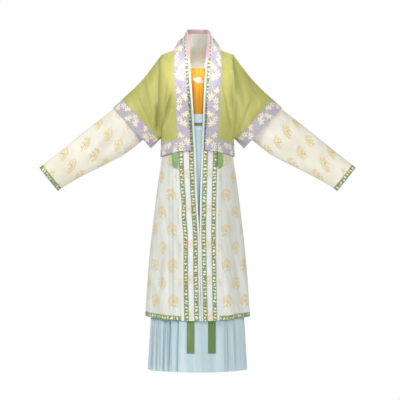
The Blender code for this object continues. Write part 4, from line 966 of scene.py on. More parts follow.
def robeMaterial(name, lookName, wide, high, shiftAcross, shiftAlong, size=1.0, strength=0.95,
                 creases=None, shade=(150, 152, 140)):
    look = looks[lookName]
    made, w, flat, place = startMaterial(name)
    tone, folds, bumps = clothBumps(w, flat, place, look)
    tile = w.call(groups["clothTile"], Place=flat, Width=wide, Height=high, ShiftAcross=shiftAcross, ShiftAlong=shiftAlong)
    lean = w.math("MULTIPLY", w.math("SUBTRACT", tile["Random"], 0.5), 1.5)
    sprig = w.call(groups["sprig"], Place=tile["Local"], Size=size, Lean=lean)
    base = w.blend(w.math("MULTIPLY", sprig["Pale"], strength * 0.40), clothBase(w, look, tone, folds), (236, 212, 124))
    base = w.blend(w.math("MULTIPLY", sprig["Gold"], strength), base, (212, 174, 76))
    base = w.blend(w.math("MULTIPLY", sprig["Mauve"], strength * 0.75), base, (196, 150, 78))
    # painted shade along the listed creases, in the shade colour
    if creases:
        base = paintCreaseShade(w, place, base, bumps, creases, shade)
    endMaterial(w, base, look, bumps)
    return made


def foilMaterial():
    # sage edges, and a middle of short pale gold blocks of uneven height on crinkled olive foil, with painted
    # highlights on the crinkle tops
    look = looks["foil"]
    made, w, flat, place = startMaterial("foilTrim")
    x, y, _ = w.split(flat)
    offMiddle = w.math("SUBTRACT", x, 0.009)
    edge = w.math("SUBTRACT", 1.0, w.below(w.math("ABSOLUTE", offMiddle), 0.0060, 0.0004))
    jag = w.math("MULTIPLY_ADD", w.noise(flat, 420.0, 2.0, 0.6), 0.45, w.noise(place, 46.0, 1.0))
    shifted = w.math("ADD", y, w.math("MULTIPLY", w.math("SUBTRACT", jag, 0.72), 0.016))
    tile = w.call(groups["clothTile"], Place=w.join(0.0, shifted), Width=1.0, Height=0.0132, Stagger=0.0)
    _, up, _ = w.split(tile["Local"])
    tall = w.span(w.noise(place, 120.0, 1.0), 0.38, 0.66, 0.0006, 0.0056)
    narrow = w.math("MULTIPLY", w.math("ABSOLUTE", offMiddle), 0.20)
    block = w.below(w.math("SUBTRACT", w.math("ADD", w.math("ABSOLUTE", up), narrow), tall), 0.0, 0.0010)
    crinkleAndGlint = w.noise(flat, 520.0, 3.0, 0.6)
    # the crinkle noise that makes the relief also lightens the olive and the gold where it is high: painted highlights
    # on the crinkle tops, over the foil's own olive and gold
    olive = w.blend(w.span(crinkleAndGlint, 0.42, 0.58), (100, 110, 64), (166, 164, 106))
    gold = w.blend(w.span(crinkleAndGlint, 0.40, 0.62), (230, 212, 148), (255, 252, 232))
    middle = w.blend(block, olive, gold)
    sage = w.blend(w.noise(flat, 500.0, 2.0), (92, 146, 122), (132, 178, 150))
    base = w.blend(edge, middle, sage)
    rough = w.span(crinkleAndGlint, 0.3, 0.7, 0.34, 0.60)
    relief = w.math("ADD", crinkleAndGlint, w.math("MULTIPLY", block, 0.6))
    endMaterial(w, base, look, [(relief, 0.0004)], roughness=rough, metallic=w.math("MULTIPLY", block, 0.2))
    return made


def camisoleMaterial():
    # a row of small curled sprays near the top edge, on an orange ground with painted shade towards the bottom
    look = looks["orange"]
    made, w, flat, place = startMaterial("orangeCloth")
    tone, folds, bumps = clothBumps(w, flat, place, look)
    x, y, _ = w.split(flat)
    local = w.call(groups["clothTile"], Place=w.join(x, y), Width=0.056, Height=1.0, Stagger=0.0, ShiftAcross=0.028,
                   ShiftAlong=0.550)["Local"]
    base = clothBase(w, look, tone, folds)
    # painted shade: the orange darkens towards the bottom
    ramp = w.span(y, -0.02, -0.20, 0.0, 0.55)
    base = w.blend(ramp, base, (186, 128, 38))
    for centre, size, shade in (((0.003, 0.0, 0), 0.0130, (248, 240, 232)), ((0.0170, -0.0050, 0), 0.0090, (236, 176, 172)),
                                ((-0.0120, 0.0040, 0), 0.0080, (168, 190, 206)), ((0.0110, 0.0090, 0), 0.0060, (240, 196, 186))):
        bloom = w.call(groups["flower"], Place=local, Centre=centre, Size=size, Petals=5.0, Turn=0.6)
        base = w.blend(w.math("MULTIPLY", bloom["Petal"], 0.85), base, shade)
        base = w.blend(w.math("MULTIPLY", bloom["Line"], 0.6), base, (196, 140, 70))
    endMaterial(w, base, look, bumps)
    return made


def waistMaterial():
    look = looks["waist"]
    made, w, flat, place = startMaterial("waistCloth")
    tone, folds, bumps = clothBumps(w, flat, place, look)
    tile = w.call(groups["clothTile"], Place=flat, Width=0.030, Height=0.034, ShiftAlong=0.016)
    bloom = w.call(groups["flower"], Place=tile["Local"], Size=0.0095, Petals=4.0, Turn=0.8)
    leaf = w.call(groups["leaf"], Place=tile["Local"], Centre=(0.011, -0.010, 0), Long=0.007, Wide=0.0024, Turn=0.8)
    motif = w.math("MAXIMUM", bloom["Line"], leaf["Line"])
    base = w.blend(w.math("MULTIPLY", motif, 0.55), clothBase(w, look, tone, folds), (240, 244, 244))
    endMaterial(w, base, look, bumps)
    return made


materials = dict(
    greenSatin=greenSatinMaterial(), greenInside=plainMaterial("greenInside", looks["greenInside"]),
    lilacBand=lilacMaterial("lilacBand"), lilacHem=lilacMaterial("lilacHem", wide=0.053),
    lilacCuff=lilacMaterial("lilacCuff", wide=0.042), lilacInside=plainMaterial("lilacInside", looks["lilac"]),
    # robeFront and skirtCloth get painted shade along their creases
    robeFront=robeMaterial("robeFront", "robeBody", 0.050, 0.142, -0.010, 0.096, size=1.12, creases=robeCreaseShade),
    robeBack=robeMaterial("robeBack", "robeBody", 0.050, 0.142, 0.0, 0.096, size=1.12),
    robeSleeve=robeMaterial("robeSleeve", "robeSleeve", 0.058, 0.116, 0.010, 0.03, size=1.05),
    robeInside=robeMaterial("robeInside", "robeInside", 0.050, 0.142, 0.0, 0.096, size=1.15, strength=0.55),
    whiteBand=robeMaterial("whiteBand", "whiteBand", 0.075, 0.142, -0.0022, 0.153, size=0.80, strength=0.7),
    whiteInside=plainMaterial("whiteInside", looks["robeInside"]),
    foilTrim=foilMaterial(), pinkGuard=plainMaterial("pinkGuard", looks["pink"]),
    orangeCloth=camisoleMaterial(), waistCloth=waistMaterial(),
    skirtCloth=robeMaterial("skirtCloth", "skirt", 0.070, 0.120, 0.0, 0.02, size=0.8, strength=0.08,
                            creases=skirtCreaseShade, shade=(124, 158, 166)),
    greenRibbon=plainMaterial("greenRibbon", looks["ribbon"]), greenTie=plainMaterial("greenTie", looks["tie"]),
    thread=plainMaterial("thread", looks["thread"]), jacketThread=plainMaterial("jacketThread", looks["jacketThread"]))
insideOf = dict(greenSatin="greenInside", lilacBand="lilacInside", lilacHem="lilacInside", lilacCuff="lilacInside",
                robeFront="robeInside", robeBack="robeInside", robeSleeve="robeInside", whiteBand="whiteInside")
print("stage: materials made")


# ---- the coats' pieces

stitchLines = []   # (name, points, outward) of the seams that get hand stitches


def finishPiece(piece, node):
    outer = pullBack(piece.grid, piece.normal, piece.closed)
    made = shell(f"{node}_cloth", outer, outer - piece.normal * piece.thick, piece.flat, piece.closed)
    made.data.materials.append(materials[piece.finish])
    made.data.materials.append(materials[insideOf.get(piece.finish, piece.finish)])
    finishCloth(made, node, cutSize(piece.grid - piece.normal * piece.thick / 2, piece.closed))
    return made


def turnPattern(flat, start):
    # the repeat of a hem or cuff runs round, so its flat pattern is turned
    return np.stack([start - flat[..., 1], flat[..., 0]], axis=-1)


def bandPattern(band, chestRow, wide, shares):
    along = arcs(band, chestRow=chestRow)[..., 1]
    return np.stack([np.broadcast_to(np.array(shares) * wide, along.shape), np.broadcast_to(along[:, :1], along.shape)], axis=-1)


def makeCoat(layer):
    word = layer["word"]
    levels = rowLevels(layer)
    drop = chestZ - layer["hemSideZ"]
    hem = int(np.argmin(np.abs(np.array(levels) + layer["hemDrop"] / drop)))
    chest = upperSteps
    neck = math.asin(layer["neckX"] / layer["armX"]) / (math.pi / 2)
    backColumns = [neck * k / neckColumns for k in range(neckColumns)]
    backColumns += [neck + (1 - neck) * k / shoulderColumns for k in range(shoulderColumns + 1)]
    cuff = int(np.argmin(np.abs(np.array(layer["sleeveParts"]) - layer["cuffPart"])))
    isRobe = layer is robe
    panel = dict(front="robeFront", back="robeBack", sleeve="robeSleeve") if isRobe else dict(
        front="greenSatin", back="greenSatin", sleeve="greenSatin")
    collar = "whiteBand" if isRobe else "lilacBand"
    hemFinish, cuffFinish = ("foilTrim", "foilTrim") if isRobe else ("lilacHem", "lilacCuff")
    pieces, backs = {}, {}
    for side, name in ((leftSide, "left"), (rightSide, "right")):
        front = bodyGrid(layer, side, frontFace, levels, [k / frontColumns for k in range(frontColumns + 1)])
        back = bodyGrid(layer, side, backFace, levels, backColumns)
        band = drag(layer, bandGrid(layer, side, front, back))
        rings = sleeveGrid(layer, side, front, back)
        front, back, rings = drag(layer, front), drag(layer, back), drag(layer, rings)
        backs[name] = back
        inside = (0, 0, front[len(levels) // 2, 0, 2])
        frontFlat = arcs(front, chestRow=chest)
        hemFlat = turnPattern(frontFlat - frontFlat[hem, :, :] * [0, 1], 0.0)
        pieces[f"{word}_front_{name}"] = Cloth("", front, inside, wall["panel"], panel["front"], rows=(0, hem + 1), pattern=frontFlat)
        pieces[f"{word}_hem_front_{name}"] = Cloth("", front, inside, wall["panel"], hemFinish, rows=(hem, None), pattern=hemFlat)
        pattern = bandPattern(band, chest + neckColumns, layer["bandWide"], layer["bandShares"])
        pieces[f"{word}_{layer['collarWord']}_{name}"] = Cloth(
            "", band, (0, 0, band[len(band) // 2, 0, 2]), wall["band"], collar, pattern=pattern)
        inside = rings[len(rings) // 2].mean(axis=0)
        sleeveFlat = arcs(rings, closed=True)
        cuffFlat = turnPattern(sleeveFlat - sleeveFlat[cuff, :, :] * [0, 1], 0.0)
        pieces[f"{word}_sleeve_{name}"] = Cloth("", rings, inside, wall["panel"], panel["sleeve"], closed=True, rows=(0, cuff + 1),
                                                pattern=sleeveFlat)
        pieces[f"{word}_cuff_{name}"] = Cloth("", rings, inside, wall["panel"], cuffFinish, closed=True, rows=(cuff, None),
                                              pattern=cuffFlat)
    whole = np.concatenate([backs["left"][:, :0:-1], backs["right"]], axis=1)
    inside = (0, 0, whole[len(levels) // 2, 0, 2])
    if layer["splitBack"]:
        for name in ("left", "right"):
            pieces[f"{word}_back_{name}"] = Cloth("", backs[name], inside, wall["panel"], panel["back"], rows=(0, hem + 1), chestRow=chest)
    else:
        pieces[f"{word}_back"] = Cloth("", whole, inside, wall["panel"], panel["back"], rows=(0, hem + 1), chestRow=chest)
    wholeFlat = arcs(whole, chestRow=chest)
    pieces[f"{word}_hem_back"] = Cloth("", whole, inside, wall["panel"], hemFinish, rows=(hem, None),
                                       pattern=turnPattern(wholeFlat - wholeFlat[hem, :, :] * [0, 1], 0.0))
    shareNormals(pieces.values())
    for node, piece in pieces.items():
        finishPiece(piece, node)
    return pieces, hem


def addStitches(label, piece, row=None, column=None, offset=0.0004, inset=0):
    # a seam's own line of points, a little above the cloth
    if row is not None:
        points, normals = piece.grid[row], piece.normal[row]
        if piece.closed:
            points, normals = np.concatenate([points, points[:1]]), np.concatenate([normals, normals[:1]])
    else:
        points, normals = piece.grid[:, column], piece.normal[:, column]
    stitchLines.append((label, points + normals * offset, normals))


robePieces, robeHem = makeCoat(robe)
print("stage: robe made")
jacketPieces, jacketHem = makeCoat(jacket)
print("stage: jacket made")


# ---- laid on the robe's bands: foil strips and the neck guard

trimLook = dict(outer=(3, 7), inner=(11, 15), wide=0.018, clear=0.0009, guardShare=0.45, guardEndZ=-0.042)


def seamFirst(piece):
    # a band's columns counted from its seam, which lies lower than its free edge
    numbers = list(range(piece.grid.shape[1]))
    return numbers if piece.grid[0, 0, 2] < piece.grid[0, -1, 2] else numbers[::-1]


def makeTrims():
    for name in ("left", "right"):
        band = robePieces[f"robe_band_{name}"]
        columns = seamFirst(band)
        for word in ("outer", "inner"):
            first, last = trimLook[word]
            pick = sorted(columns[first:last + 1])
            points, normal = band.grid[:, pick], band.normal[:, pick]
            outer = pullBack(points, normal, False) + normal * (layGap + wall["trim"])
            along = band.flat[:, pick][..., 1]
            across = np.broadcast_to(np.linspace(0, trimLook["wide"], len(pick)), along.shape)
            node = f"robe_trim_{word}_{name}"
            made = shell(f"{node}_cloth", outer, outer - normal * wall["trim"], np.stack([across, along], -1))
            made.data.materials.append(materials["foilTrim"])
            made.data.materials.append(materials["foilTrim"])
            finishCloth(made, node, cutSize(points))


def makeGuard(name):
    piece = robePieces[f"robe_band_{name}"]
    columns = seamFirst(piece)
    grid, normal = piece.grid[:, columns], piece.normal[:, columns]
    rows = [k for k in range(len(grid)) if k <= neckColumns or grid[k, -1, 2] > trimLook["guardEndZ"]]
    over = layGap + wall["trim"] + trimLook["clear"]
    under = wall["band"] + trimLook["clear"]
    share = trimLook["guardShare"]
    sections = []
    for k in rows:
        strip = grid[k, 15] - grid[k, 11]
        reach = grid[k, -1] - grid[k, 15]
        reach /= np.linalg.norm(reach)
        across = [grid[k, 15] - strip * share, grid[k, 15] - strip * share / 2, grid[k, 15], grid[k, 16], grid[k, -1] + reach * layGap]
        tip = grid[k, -1] + reach * (layGap + wall["trim"])
        out = [normal[k, 13], normal[k, 14], normal[k, 15], normal[k, 16], normal[k, -1]]
        far = [p + n * (over + wall["trim"]) for p, n in zip(across[:4] + [tip], out)]
        near = [p - n * (under + wall["trim"]) for p, n in zip(across[:4] + [tip], out)]
        bead = [(far[-1] + near[-1]) / 2 + reach * 0.0009]
        hollowNear = [p - n * under for p, n in zip(across, out)]
        hollowFar = [p + n * over for p, n in zip(across, out)]
        start = np.zeros(3)
        if k == 0:
            start = (grid[1, -1] - grid[0, -1]) * [1, 0, 0]
            start *= seamGap / 2 / np.linalg.norm(start)
        sections.append([point + start for point in far + bead + near[::-1] + hollowNear + hollowFar[::-1]])
    n = len(sections[0])
    faces = [(i * n + j, i * n + (j + 1) % n, (i + 1) * n + (j + 1) % n, (i + 1) * n + j)
             for i in range(len(rows) - 1) for j in range(n)]
    half = 5
    loop = [(j, j + 1, n - 2 - j, n - 1 - j) for j in range(half - 1)]
    loop += [(half - 1, half, half + 1, n - 1 - half, n - half)] + [(j, j + 1, n - 1 - j, n - j) for j in range(half + 1, 2 * half)]
    caps = [tuple(quad[::-1]) for quad in loop] + [tuple((len(rows) - 1) * n + k for k in quad) for quad in loop]
    faces += caps
    if name == "left":
        faces = [face[::-1] for face in faces]
    mesh = bpy.data.meshes.new(f"robe_guard_{name}_cloth")
    mesh.from_pydata([tuple(point) for section in sections for point in section], [], faces)
    flat = mesh.uv_layers.new(name="flat")
    for loopData, uv in zip(mesh.loops, flat.data):
        row, place = divmod(loopData.vertex_index, n)
        uv.uv = (place * 0.003, row * 0.004)
    mesh.update()
    mesh.shade_smooth()
    mesh.set_sharp_from_angle(angle=math.radians(50))
    made = bpy.data.objects.new(mesh.name, mesh)
    bpy.context.scene.collection.objects.link(made)
    made.data.materials.append(materials["pinkGuard"])
    line = np.array([section[2] for section in sections])
    long = float(np.linalg.norm(np.diff(line, axis=0), axis=1).sum())
    wide = float(np.mean([np.linalg.norm(np.diff(np.array(section[:2 * half + 1]), axis=0), axis=1).sum() for section in sections]))
    finishCloth(made, f"robe_guard_{name}", (wide, long, wide * long))


makeTrims()
makeGuard("left")
makeGuard("right")
print("stage: trims and guard made")


# ---- the jacket's ties, and what lies under the robe

tieLook = dict(wide=0.021, endZ=-0.472, swing=0.008, left=-0.0920, right=0.0925,
               shape=table("drop width swing", (0.14, 1, 0.12), (0.28, 1, 0.26), (0.42, 1, 0.4), (0.56, 1, 0.53),
                           (0.70, 1, 0.67), (0.84, 1, 0.8), (0.92, 0.62, 0.9), (1.0, 0.2, 1.0)))


def makeTies():
    for name in ("left", "right"):
        middle = tieLook[name]
        hem = jacketPieces[f"jacket_hem_front_{name}"]
        inner = hem.grid - hem.normal * (hem.thick + seamGap)
        xs = middle + np.linspace(-0.5, 0.5, 7) * tieLook["wide"]
        rows = []
        for line in inner:
            line = line[np.argsort(line[:, 0])]
            rows.append([[x, *(np.interp(x, line[:, 0], line[:, k]) for k in (1, 2))] for x in xs])
        low = rows[-1]
        for drop, width, swing in zip(*tieLook["shape"].values()):
            curl = 0.0012 * math.sin(7 * drop)
            rows.append([[middle + (x - middle) * width, y - tieLook["swing"] * swing + curl * (k - 3) / 3,
                          low[3][2] + drop * (tieLook["endZ"] - low[3][2])] for k, (x, y, z) in enumerate(low)])
        rows = np.array(rows)
        grid, normal, _ = gridNormals(rows, np.array((0, 0, rows[0][0][2])))
        normal = normal * [1, 1, 0]
        normal /= np.linalg.norm(normal, axis=2)[..., None]
        node = f"jacket_tie_{name}"
        made = shell(f"{node}_cloth", grid, grid - normal * wall["ribbon"], arcs(grid))
        made.data.materials.append(materials["greenTie"])
        made.data.materials.append(materials["greenTie"])
        finishCloth(made, node, cutSize(grid))


camisole = dict(
    shape=table("z halfWidth halfDepth", (-0.072, 0.1160, 0.0800), (-0.120, 0.1210, 0.0920), (-0.180, 0.1230, 0.0965),
                (-0.240, 0.1216, 0.0956), (-0.282, 0.1216, 0.0956)),
    gathers=((-21, 2.4, -0.0011), (-16, 2.0, 0.0010), (-10, 2.2, -0.0012), (-4, 2.2, 0.0011), (2, 2.0, -0.0010), (7, 2.0, 0.0012),
             (13, 2.4, -0.0012), (19, 2.2, 0.0010), (30, 3, -0.0010), (-33, 3, 0.0010), (60, 4, 0.0011), (-66, 4, -0.0011),
             (100, 5, -0.0011), (-104, 5, 0.0012), (140, 5, 0.0011), (-146, 5, -0.0010), (175, 5, 0.0010)))
skirt = dict(
    waistTopZ=-0.256, waistBottomZ=-0.322, hemZ=-1.285, beltTopZ=-0.291, beltBottomZ=-0.303, panelFrom=-22.8, panelTo=37.3,
    pleatsEachSide=16, depthWaist=0.0040, depthHem=0.0160, lip=0.06, power=0.95, unevenness=0.16,
    ribbonEndZ=-1.210, ribbonLay=0.0008, left=(-0.0420, -0.0120), right=(0.0420, 0.0720),
    shape=table("z halfWidth halfDepth", (-0.256, 0.1240, 0.0984), (-0.322, 0.1260, 0.0996), (-0.450, 0.1320, 0.1022),
                (-0.600, 0.1480, 0.1090), (-0.800, 0.1680, 0.1240), (-1.000, 0.1840, 0.1400), (-1.100, 0.1905, 0.1500),
                (-1.285, 0.2020, 0.1650)),
    folds=((-12, 3.0, -0.0016), (-3, 2.6, 0.0014), (6, 3.0, -0.0015), (14, 2.6, 0.0013), (24, 3.0, -0.0014), (31, 2.6, 0.0012)))


def ringPoint(data, azimuth, z, push=0.0):
    angle = np.radians(azimuth)
    wide = read(data, "z", "halfWidth", z) + push
    deep = read(data, "z", "halfDepth", z) + push
    return np.stack(np.broadcast_arrays(wide * np.sin(angle), -deep * np.cos(angle), z), axis=-1)


def ripple(azimuth, folds):
    away = (azimuth[:, None] - np.array([fold[0] for fold in folds])[None] + 180) % 360 - 180
    return (np.array([fold[2] for fold in folds]) * np.exp(-(away / np.array([fold[1] for fold in folds]))**2)).sum(axis=1)


def makeRing(node, data, heights, push, thick, finish, folds=None, fold=None):
    azimuths = np.linspace(-180, 180, 145)[:-1]
    waves = ripple(azimuths, folds) if folds else 0 * azimuths
    grid = np.array([ringPoint(data, azimuths, z, push + waves * (fold(z) if fold else 0)) for z in heights])
    flat = arcs(grid, closed=True)
    flat[..., 0] -= flat[:, 72:73, 0]     # 0 at the front's middle
    grid, normal, turned = gridNormals(grid, np.array((0, 0, heights[0])), closed=True)
    flat = flat[:, ::-1] if turned else flat
    made = shell(f"{node}_cloth", grid, grid - normal * thick, flat, closed=True)
    made.data.materials.append(materials[finish])
    made.data.materials.append(materials[finish])
    finishCloth(made, node, cutSize(grid, True))
    return grid, normal


def skirtLevels(steps):
    top = skirt["waistBottomZ"] - seamGap
    return np.array([top + (skirt["hemZ"] - top) * (k / steps) for k in range(steps + 1)])


def makePleatTree():
    # knife pleats: a sharp step in at each pleat's edge, then a slow run back out
    tree, w, given, out = newGroup(
        "knifePleats",
        [("Geometry", "G", None), ("Depth at waist", "F", 0.0024), ("Depth at hem", "F", 0.0078), ("Lip", "F", 0.07),
         ("Power", "F", 1.0), ("Cloth", "M", None), ("Inside", "M", None)], [("Geometry", "G")], "GeometryNodeTree")
    tree.is_modifier = True

    def attribute(name, kind="FLOAT"):
        made = w.node("GeometryNodeInputNamedAttribute", data_type=kind)
        made.inputs["Name"].default_value = name
        return made.outputs["Attribute"]

    across = w.math("FRACT", attribute("pleat"))
    step = w.math("DIVIDE", across, given["Lip"])
    back = w.math("DIVIDE", w.math("SUBTRACT", 1.0, across), w.math("SUBTRACT", 1.0, given["Lip"]))
    run = w.math("POWER", w.math("MAXIMUM", back, 0.0), given["Power"])
    inward = w.math("MINIMUM", step, run)
    spread = w.math("SUBTRACT", given["Depth at hem"], given["Depth at waist"])
    depth = w.math("MULTIPLY_ADD", attribute("drop"), spread, given["Depth at waist"])
    push = w.math("MULTIPLY", w.math("MULTIPLY", inward, depth), -1.0)
    outward = attribute("outward", "FLOAT_VECTOR")
    offset = w.vector("MULTIPLY", outward, w.join(push, push, push))
    place = w.node("GeometryNodeSetPosition")
    w.put(place.inputs["Geometry"], given["Geometry"])
    w.put(place.inputs["Offset"], offset)
    real = w.node("GeometryNodeRealizeInstances")
    w.put(real.inputs["Geometry"], place.outputs["Geometry"])
    cloth = w.node("GeometryNodeSetMaterial")
    w.put(cloth.inputs["Geometry"], real.outputs["Geometry"])
    w.put(cloth.inputs["Material"], given["Cloth"])
    w.put(out["Geometry"], cloth.outputs["Geometry"])
    return tree


def runTree(made, tree, values):
    # sets the modifier's inputs by identifier and turns its result into a plain mesh
    modifier = made.modifiers.new(tree.name, "NODES")
    for item in tree.interface.items_tree:
        if item.item_type == "SOCKET" and item.in_out == "INPUT" and item.name in values:
            modifier[item.identifier] = values[item.name]
    modifier.node_group = tree
    for item in tree.interface.items_tree:
        if item.item_type == "SOCKET" and item.in_out == "INPUT" and item.name in values:
            modifier[item.identifier] = values[item.name]
    evaluated = made.evaluated_get(bpy.context.evaluated_depsgraph_get())
    result = bpy.data.meshes.new_from_object(evaluated)
    made.modifiers.remove(modifier)
    old = made.data
    made.data = result
    result.name = made.name
    bpy.data.meshes.remove(old)
    return made


def addAttribute(mesh, name, values, kind="FLOAT"):
    layer = mesh.attributes.new(name, kind, "POINT")
    key = "vector" if kind == "FLOAT_VECTOR" else "value"
    layer.data.foreach_set(key, np.asarray(values, np.float32).ravel())


def makeSkirt():
    levels = skirtLevels(63)
    azimuths = np.linspace(skirt["panelFrom"], skirt["panelTo"], 73)
    ramp = np.minimum(1, np.minimum(azimuths - skirt["panelFrom"], skirt["panelTo"] - azimuths) / 6)
    waves = ripple(azimuths, skirt["folds"]) * ramp
    panel = np.array([ringPoint(skirt["shape"], azimuths, z, waves * smoothstep(0.40, 0.75, -z)) for z in levels])
    inside = (0, 0, levels[32])
    flat = arcs(panel)
    flat[..., 0] -= flat[:, 27:28, 0]
    pieces = {"skirt_front_panel": Cloth("", panel, inside, wall["panel"], "skirtCloth", pattern=flat)}
    phases = {}
    for name, first, last in (("left", skirt["panelFrom"], -180.0), ("right", skirt["panelTo"], 180.0)):
        count = skirt["pleatsEachSide"]
        edges = np.arange(count + 1) + skirt["unevenness"] * np.sin(2.3 * np.arange(count + 1)) * (np.arange(count + 1) % count > 0)
        edges = first + (last - first) * edges / count
        parts = np.array([0, skirt["lip"] / 2, skirt["lip"], 0.22, 0.40, 0.60, 0.80])
        phase = np.append((np.arange(count)[:, None] + parts[None]).ravel(), count)
        azimuths = np.interp(phase, np.arange(count + 1), edges)
        grid = np.array([ringPoint(skirt["shape"], azimuths, z) for z in levels])
        pieces[f"skirt_pleats_{name}"] = Cloth("", grid, inside, wall["panel"], "skirtCloth")
        turned = np.linalg.norm(pieces[f"skirt_pleats_{name}"].grid[0, 0] - grid[0, 0]) > 1e-6
        phases[f"skirt_pleats_{name}"] = phase[::-1] if turned else phase
    shareNormals(pieces.values())
    finishPiece(pieces["skirt_front_panel"], "skirt_front_panel")
    tree = makePleatTree()
    for node, phase in phases.items():
        piece = pieces[node]
        outer = pullBack(piece.grid, piece.normal, False)
        made = shell(f"{node}_cloth", outer, outer - piece.normal * piece.thick, piece.flat)
        outward = piece.normal * [1, 1, 0]
        outward /= np.linalg.norm(outward, axis=2)[..., None]
        drop = np.broadcast_to(np.linspace(0, 1, len(levels))[:, None], piece.grid.shape[:2])
        addAttribute(made.data, "pleat", np.concatenate([np.broadcast_to(phase, drop.shape)] * 2))
        addAttribute(made.data, "drop", np.concatenate([drop, drop]))
        addAttribute(made.data, "outward", np.concatenate([outward, outward]), "FLOAT_VECTOR")
        made.data.materials.append(materials["skirtCloth"])
        runTree(made, tree, {"Depth at waist": skirt["depthWaist"], "Depth at hem": skirt["depthHem"], "Lip": skirt["lip"],
                             "Power": skirt["power"], "Cloth": materials["skirtCloth"]})
        made.data.set_sharp_from_angle(angle=math.radians(32))
        wide, long, area = cutSize(piece.grid)
        turnedUnder = 1.32      # cloth that the pleats take up beyond the finished width
        finishCloth(made, node, (wide * turnedUnder, long, area * turnedUnder))
    return pieces["skirt_front_panel"], panel


def makeRibbons(panel):
    for name in ("left", "right"):
        xs = np.linspace(*skirt[name], 9)
        rows = np.array([[(x, np.interp(x, row[:, 0], row[:, 1]), row[0, 2]) for x in xs] for row in panel])
        heights = rows[:, 0, 2]
        top = rows[0] * [1, 1, 0] + [0, 0, skirt["beltBottomZ"] - 2 * seamGap]
        last = np.array([[x, np.interp(-skirt["ribbonEndZ"], -heights, rows[:, j, 1]), skirt["ribbonEndZ"]] for j, x in enumerate(xs)])
        grid = np.concatenate([[top], rows[heights > skirt["ribbonEndZ"]], [last]])
        grid, normal, _ = gridNormals(grid, np.array((0, 0, heights[32])))
        lay = skirt["ribbonLay"]
        node = f"skirt_ribbon_{name}"
        flat = arcs(grid)
        made = shell(f"{node}_cloth", grid + normal * (lay + wall["ribbon"]), grid + normal * lay, flat)
        made.data.materials.append(materials["greenRibbon"])
        made.data.materials.append(materials["greenRibbon"])
        finishCloth(made, node, cutSize(grid))


makeTies()
makeRing("camisole", camisole["shape"], np.linspace(-0.072, -0.282, 31), 0, wall["panel"], "orangeCloth",
         camisole["gathers"], lambda z: smoothstep(0.250, 0.215, -z))
makeRing("skirt_waistband", skirt["shape"], np.linspace(skirt["waistTopZ"], skirt["waistBottomZ"], 9), 0, wall["band"], "waistCloth")
makeRing("skirt_belt", skirt["shape"], np.linspace(skirt["beltTopZ"], skirt["beltBottomZ"], 5), layGap + wall["ribbon"], wall["ribbon"],
         "greenRibbon")
skirtFront, skirtPanel = makeSkirt()
makeRibbons(skirtPanel)
print("stage: underneath made")


# ---- stitches along the seams

stitchLook = dict(spacing=0.0062, long=0.0026, thick=0.00034)


def makeStitchTree():
    tree, w, given, out = newGroup(
        "runningStitch",
        [("Geometry", "G", None), ("Spacing", "F", 0.006), ("Long", "F", 0.0026), ("Thick", "F", 0.0004), ("Thread", "M", None)],
        [("Geometry", "G")], "GeometryNodeTree")
    tree.is_modifier = True
    curve = w.node("GeometryNodeMeshToCurve")
    w.put(curve.inputs[0], given["Geometry"])
    even = w.node("GeometryNodeResampleCurve", mode="LENGTH")
    w.put(even.inputs["Curve"], curve.outputs[0])
    w.put(even.inputs["Length"], given["Spacing"])
    bead = w.node("GeometryNodeMeshIcoSphere")
    bead.inputs["Radius"].default_value = 0.5
    bead.inputs["Subdivisions"].default_value = 1
    turn = w.node("FunctionNodeAlignRotationToVector", axis="X")
    w.put(turn.inputs["Vector"], w.node("GeometryNodeInputTangent").outputs[0])
    scatter = w.node("GeometryNodeInstanceOnPoints")
    w.put(scatter.inputs["Points"], even.outputs[0])
    w.put(scatter.inputs["Instance"], bead.outputs["Mesh"])
    w.put(scatter.inputs["Rotation"], turn.outputs[0])
    w.put(scatter.inputs["Scale"], w.join(given["Long"], given["Thick"], given["Thick"]))
    real = w.node("GeometryNodeRealizeInstances")
    w.put(real.inputs["Geometry"], scatter.outputs[0])
    cloth = w.node("GeometryNodeSetMaterial")
    w.put(cloth.inputs["Geometry"], real.outputs[0])
    w.put(cloth.inputs["Material"], given["Thread"])
    w.put(out["Geometry"], cloth.outputs[0])
    return tree


def makeStitches():
    for pieces, word, hemRow in ((robePieces, "robe", 0), (jacketPieces, "jacket", 0)):
        for name in ("left", "right"):
            addStitches(word, pieces[f"{word}_hem_front_{name}"], row=1)
            addStitches(word, pieces[f"{word}_cuff_{name}"], row=1)
            front = pieces[f"{word}_front_{name}"]
            seam = 0 if abs(front.grid[-1, 0, 0]) < abs(front.grid[-1, -1, 0]) else -1
            addStitches(word, front, column=1 if seam == 0 else -2)
        addStitches(word, pieces[f"{word}_hem_back"], row=1)
    tree = makeStitchTree()
    for word in ("robe", "jacket"):
        lines = [(points, normals) for label, points, normals in stitchLines if label == word]
        vertices, edges = [], []
        for points, _ in lines:
            base = len(vertices)
            vertices += points.tolist()
            edges += [(base + k, base + k + 1) for k in range(len(points) - 1)]
        mesh = bpy.data.meshes.new(f"stitching_{word}")
        mesh.from_pydata(vertices, edges, [])
        made = bpy.data.objects.new(mesh.name, mesh)
        bpy.context.scene.collection.objects.link(made)
        runTree(made, tree, {"Spacing": stitchLook["spacing"], "Long": stitchLook["long"], "Thick": stitchLook["thick"],
                             "Thread": materials["thread" if word == "robe" else "jacketThread"]})
        made.data.uv_layers.new(name="flat")
        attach(made, "root")


makeStitches()
print("stage: stitches made")


# ---- camera, floor and light

view = dict(x=0.010, z=-0.600, distance=8.0, wide=1.6, plane=0.10, ambient=0.48)


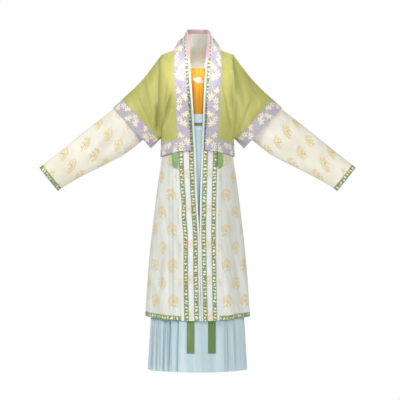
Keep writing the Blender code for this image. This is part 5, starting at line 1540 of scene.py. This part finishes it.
def makeStage():
    camera = bpy.data.cameras.new("camera")
    camera.sensor_width = 36
    camera.lens = 36 * (view["distance"] - view["plane"]) / view["wide"]
    camera.clip_end = 60
    seen = bpy.data.objects.new("camera", camera)
    seen.location = (view["x"], -view["distance"], view["z"])
    seen.rotation_euler = (math.pi / 2, 0, 0)
    bpy.context.scene.collection.objects.link(seen)
    bpy.context.scene.camera = seen

    bpy.ops.mesh.primitive_circle_add(vertices=96, radius=1.9, fill_type="NGON", location=(0, 0, 0))
    floor = bpy.context.object
    floor.name = "floor"
    for vertex in floor.data.vertices:
        vertex.co.z = -1.66
    paint = bpy.data.materials.new("floorPaint")
    paint.use_nodes = True
    paint.node_tree.nodes["Principled BSDF"].inputs["Base Color"].default_value = (0.9, 0.9, 0.9, 1)
    paint.node_tree.nodes["Principled BSDF"].inputs["Roughness"].default_value = 0.8
    floor.data.materials.append(paint)

    world = bpy.data.worlds.new("studio")
    bpy.context.scene.world = world
    world.use_nodes = True
    w = Wiring(world.node_tree)
    seenByCamera = w.node("ShaderNodeLightPath").outputs["Is Camera Ray"]
    w.put(world.node_tree.nodes["Background"].inputs["Color"], w.blend(seenByCamera, (240, 243, 248), (255, 255, 255)))
    w.put(world.node_tree.nodes["Background"].inputs["Strength"], w.span(seenByCamera, 0.0, 1.0, view["ambient"], 1.0))
    bpy.context.scene.view_settings.view_transform = "Standard"
    for name, place, size, power, aim in (
            ("keyLight", (-3.6, -2.6, 1.6), 1.3, 104, (0, 0, -0.5)), ("fillLight", (2.4, -5.0, 0.4), 1.8, 122, (0, 0, -0.5)),
            ("neckLight", (0.0, -1.5, 0.30), 0.20, 0.17, (0, 0.05, -0.07)), ("backLight", (0.6, 3.6, 0.6), 2.4, 70, (0, 0, -0.4))):
        lamp = bpy.data.lights.new(name, "AREA")
        lamp.energy, lamp.size = power, size
        lamp.spread = math.radians(13 if name == "neckLight" else 180)
        made = bpy.data.objects.new(name, lamp)
        made.location = place
        direction = np.array(aim) - np.array(place)
        made.rotation_euler = (math.acos(-direction[2] / np.linalg.norm(direction)), 0,
                               math.atan2(direction[1], direction[0]) - math.pi / 2)
        bpy.context.scene.collection.objects.link(made)


makeStage()
print("stage: camera and light set")
for name, cut in sorted(cuts.items()):
    print("cut", name, *cut)
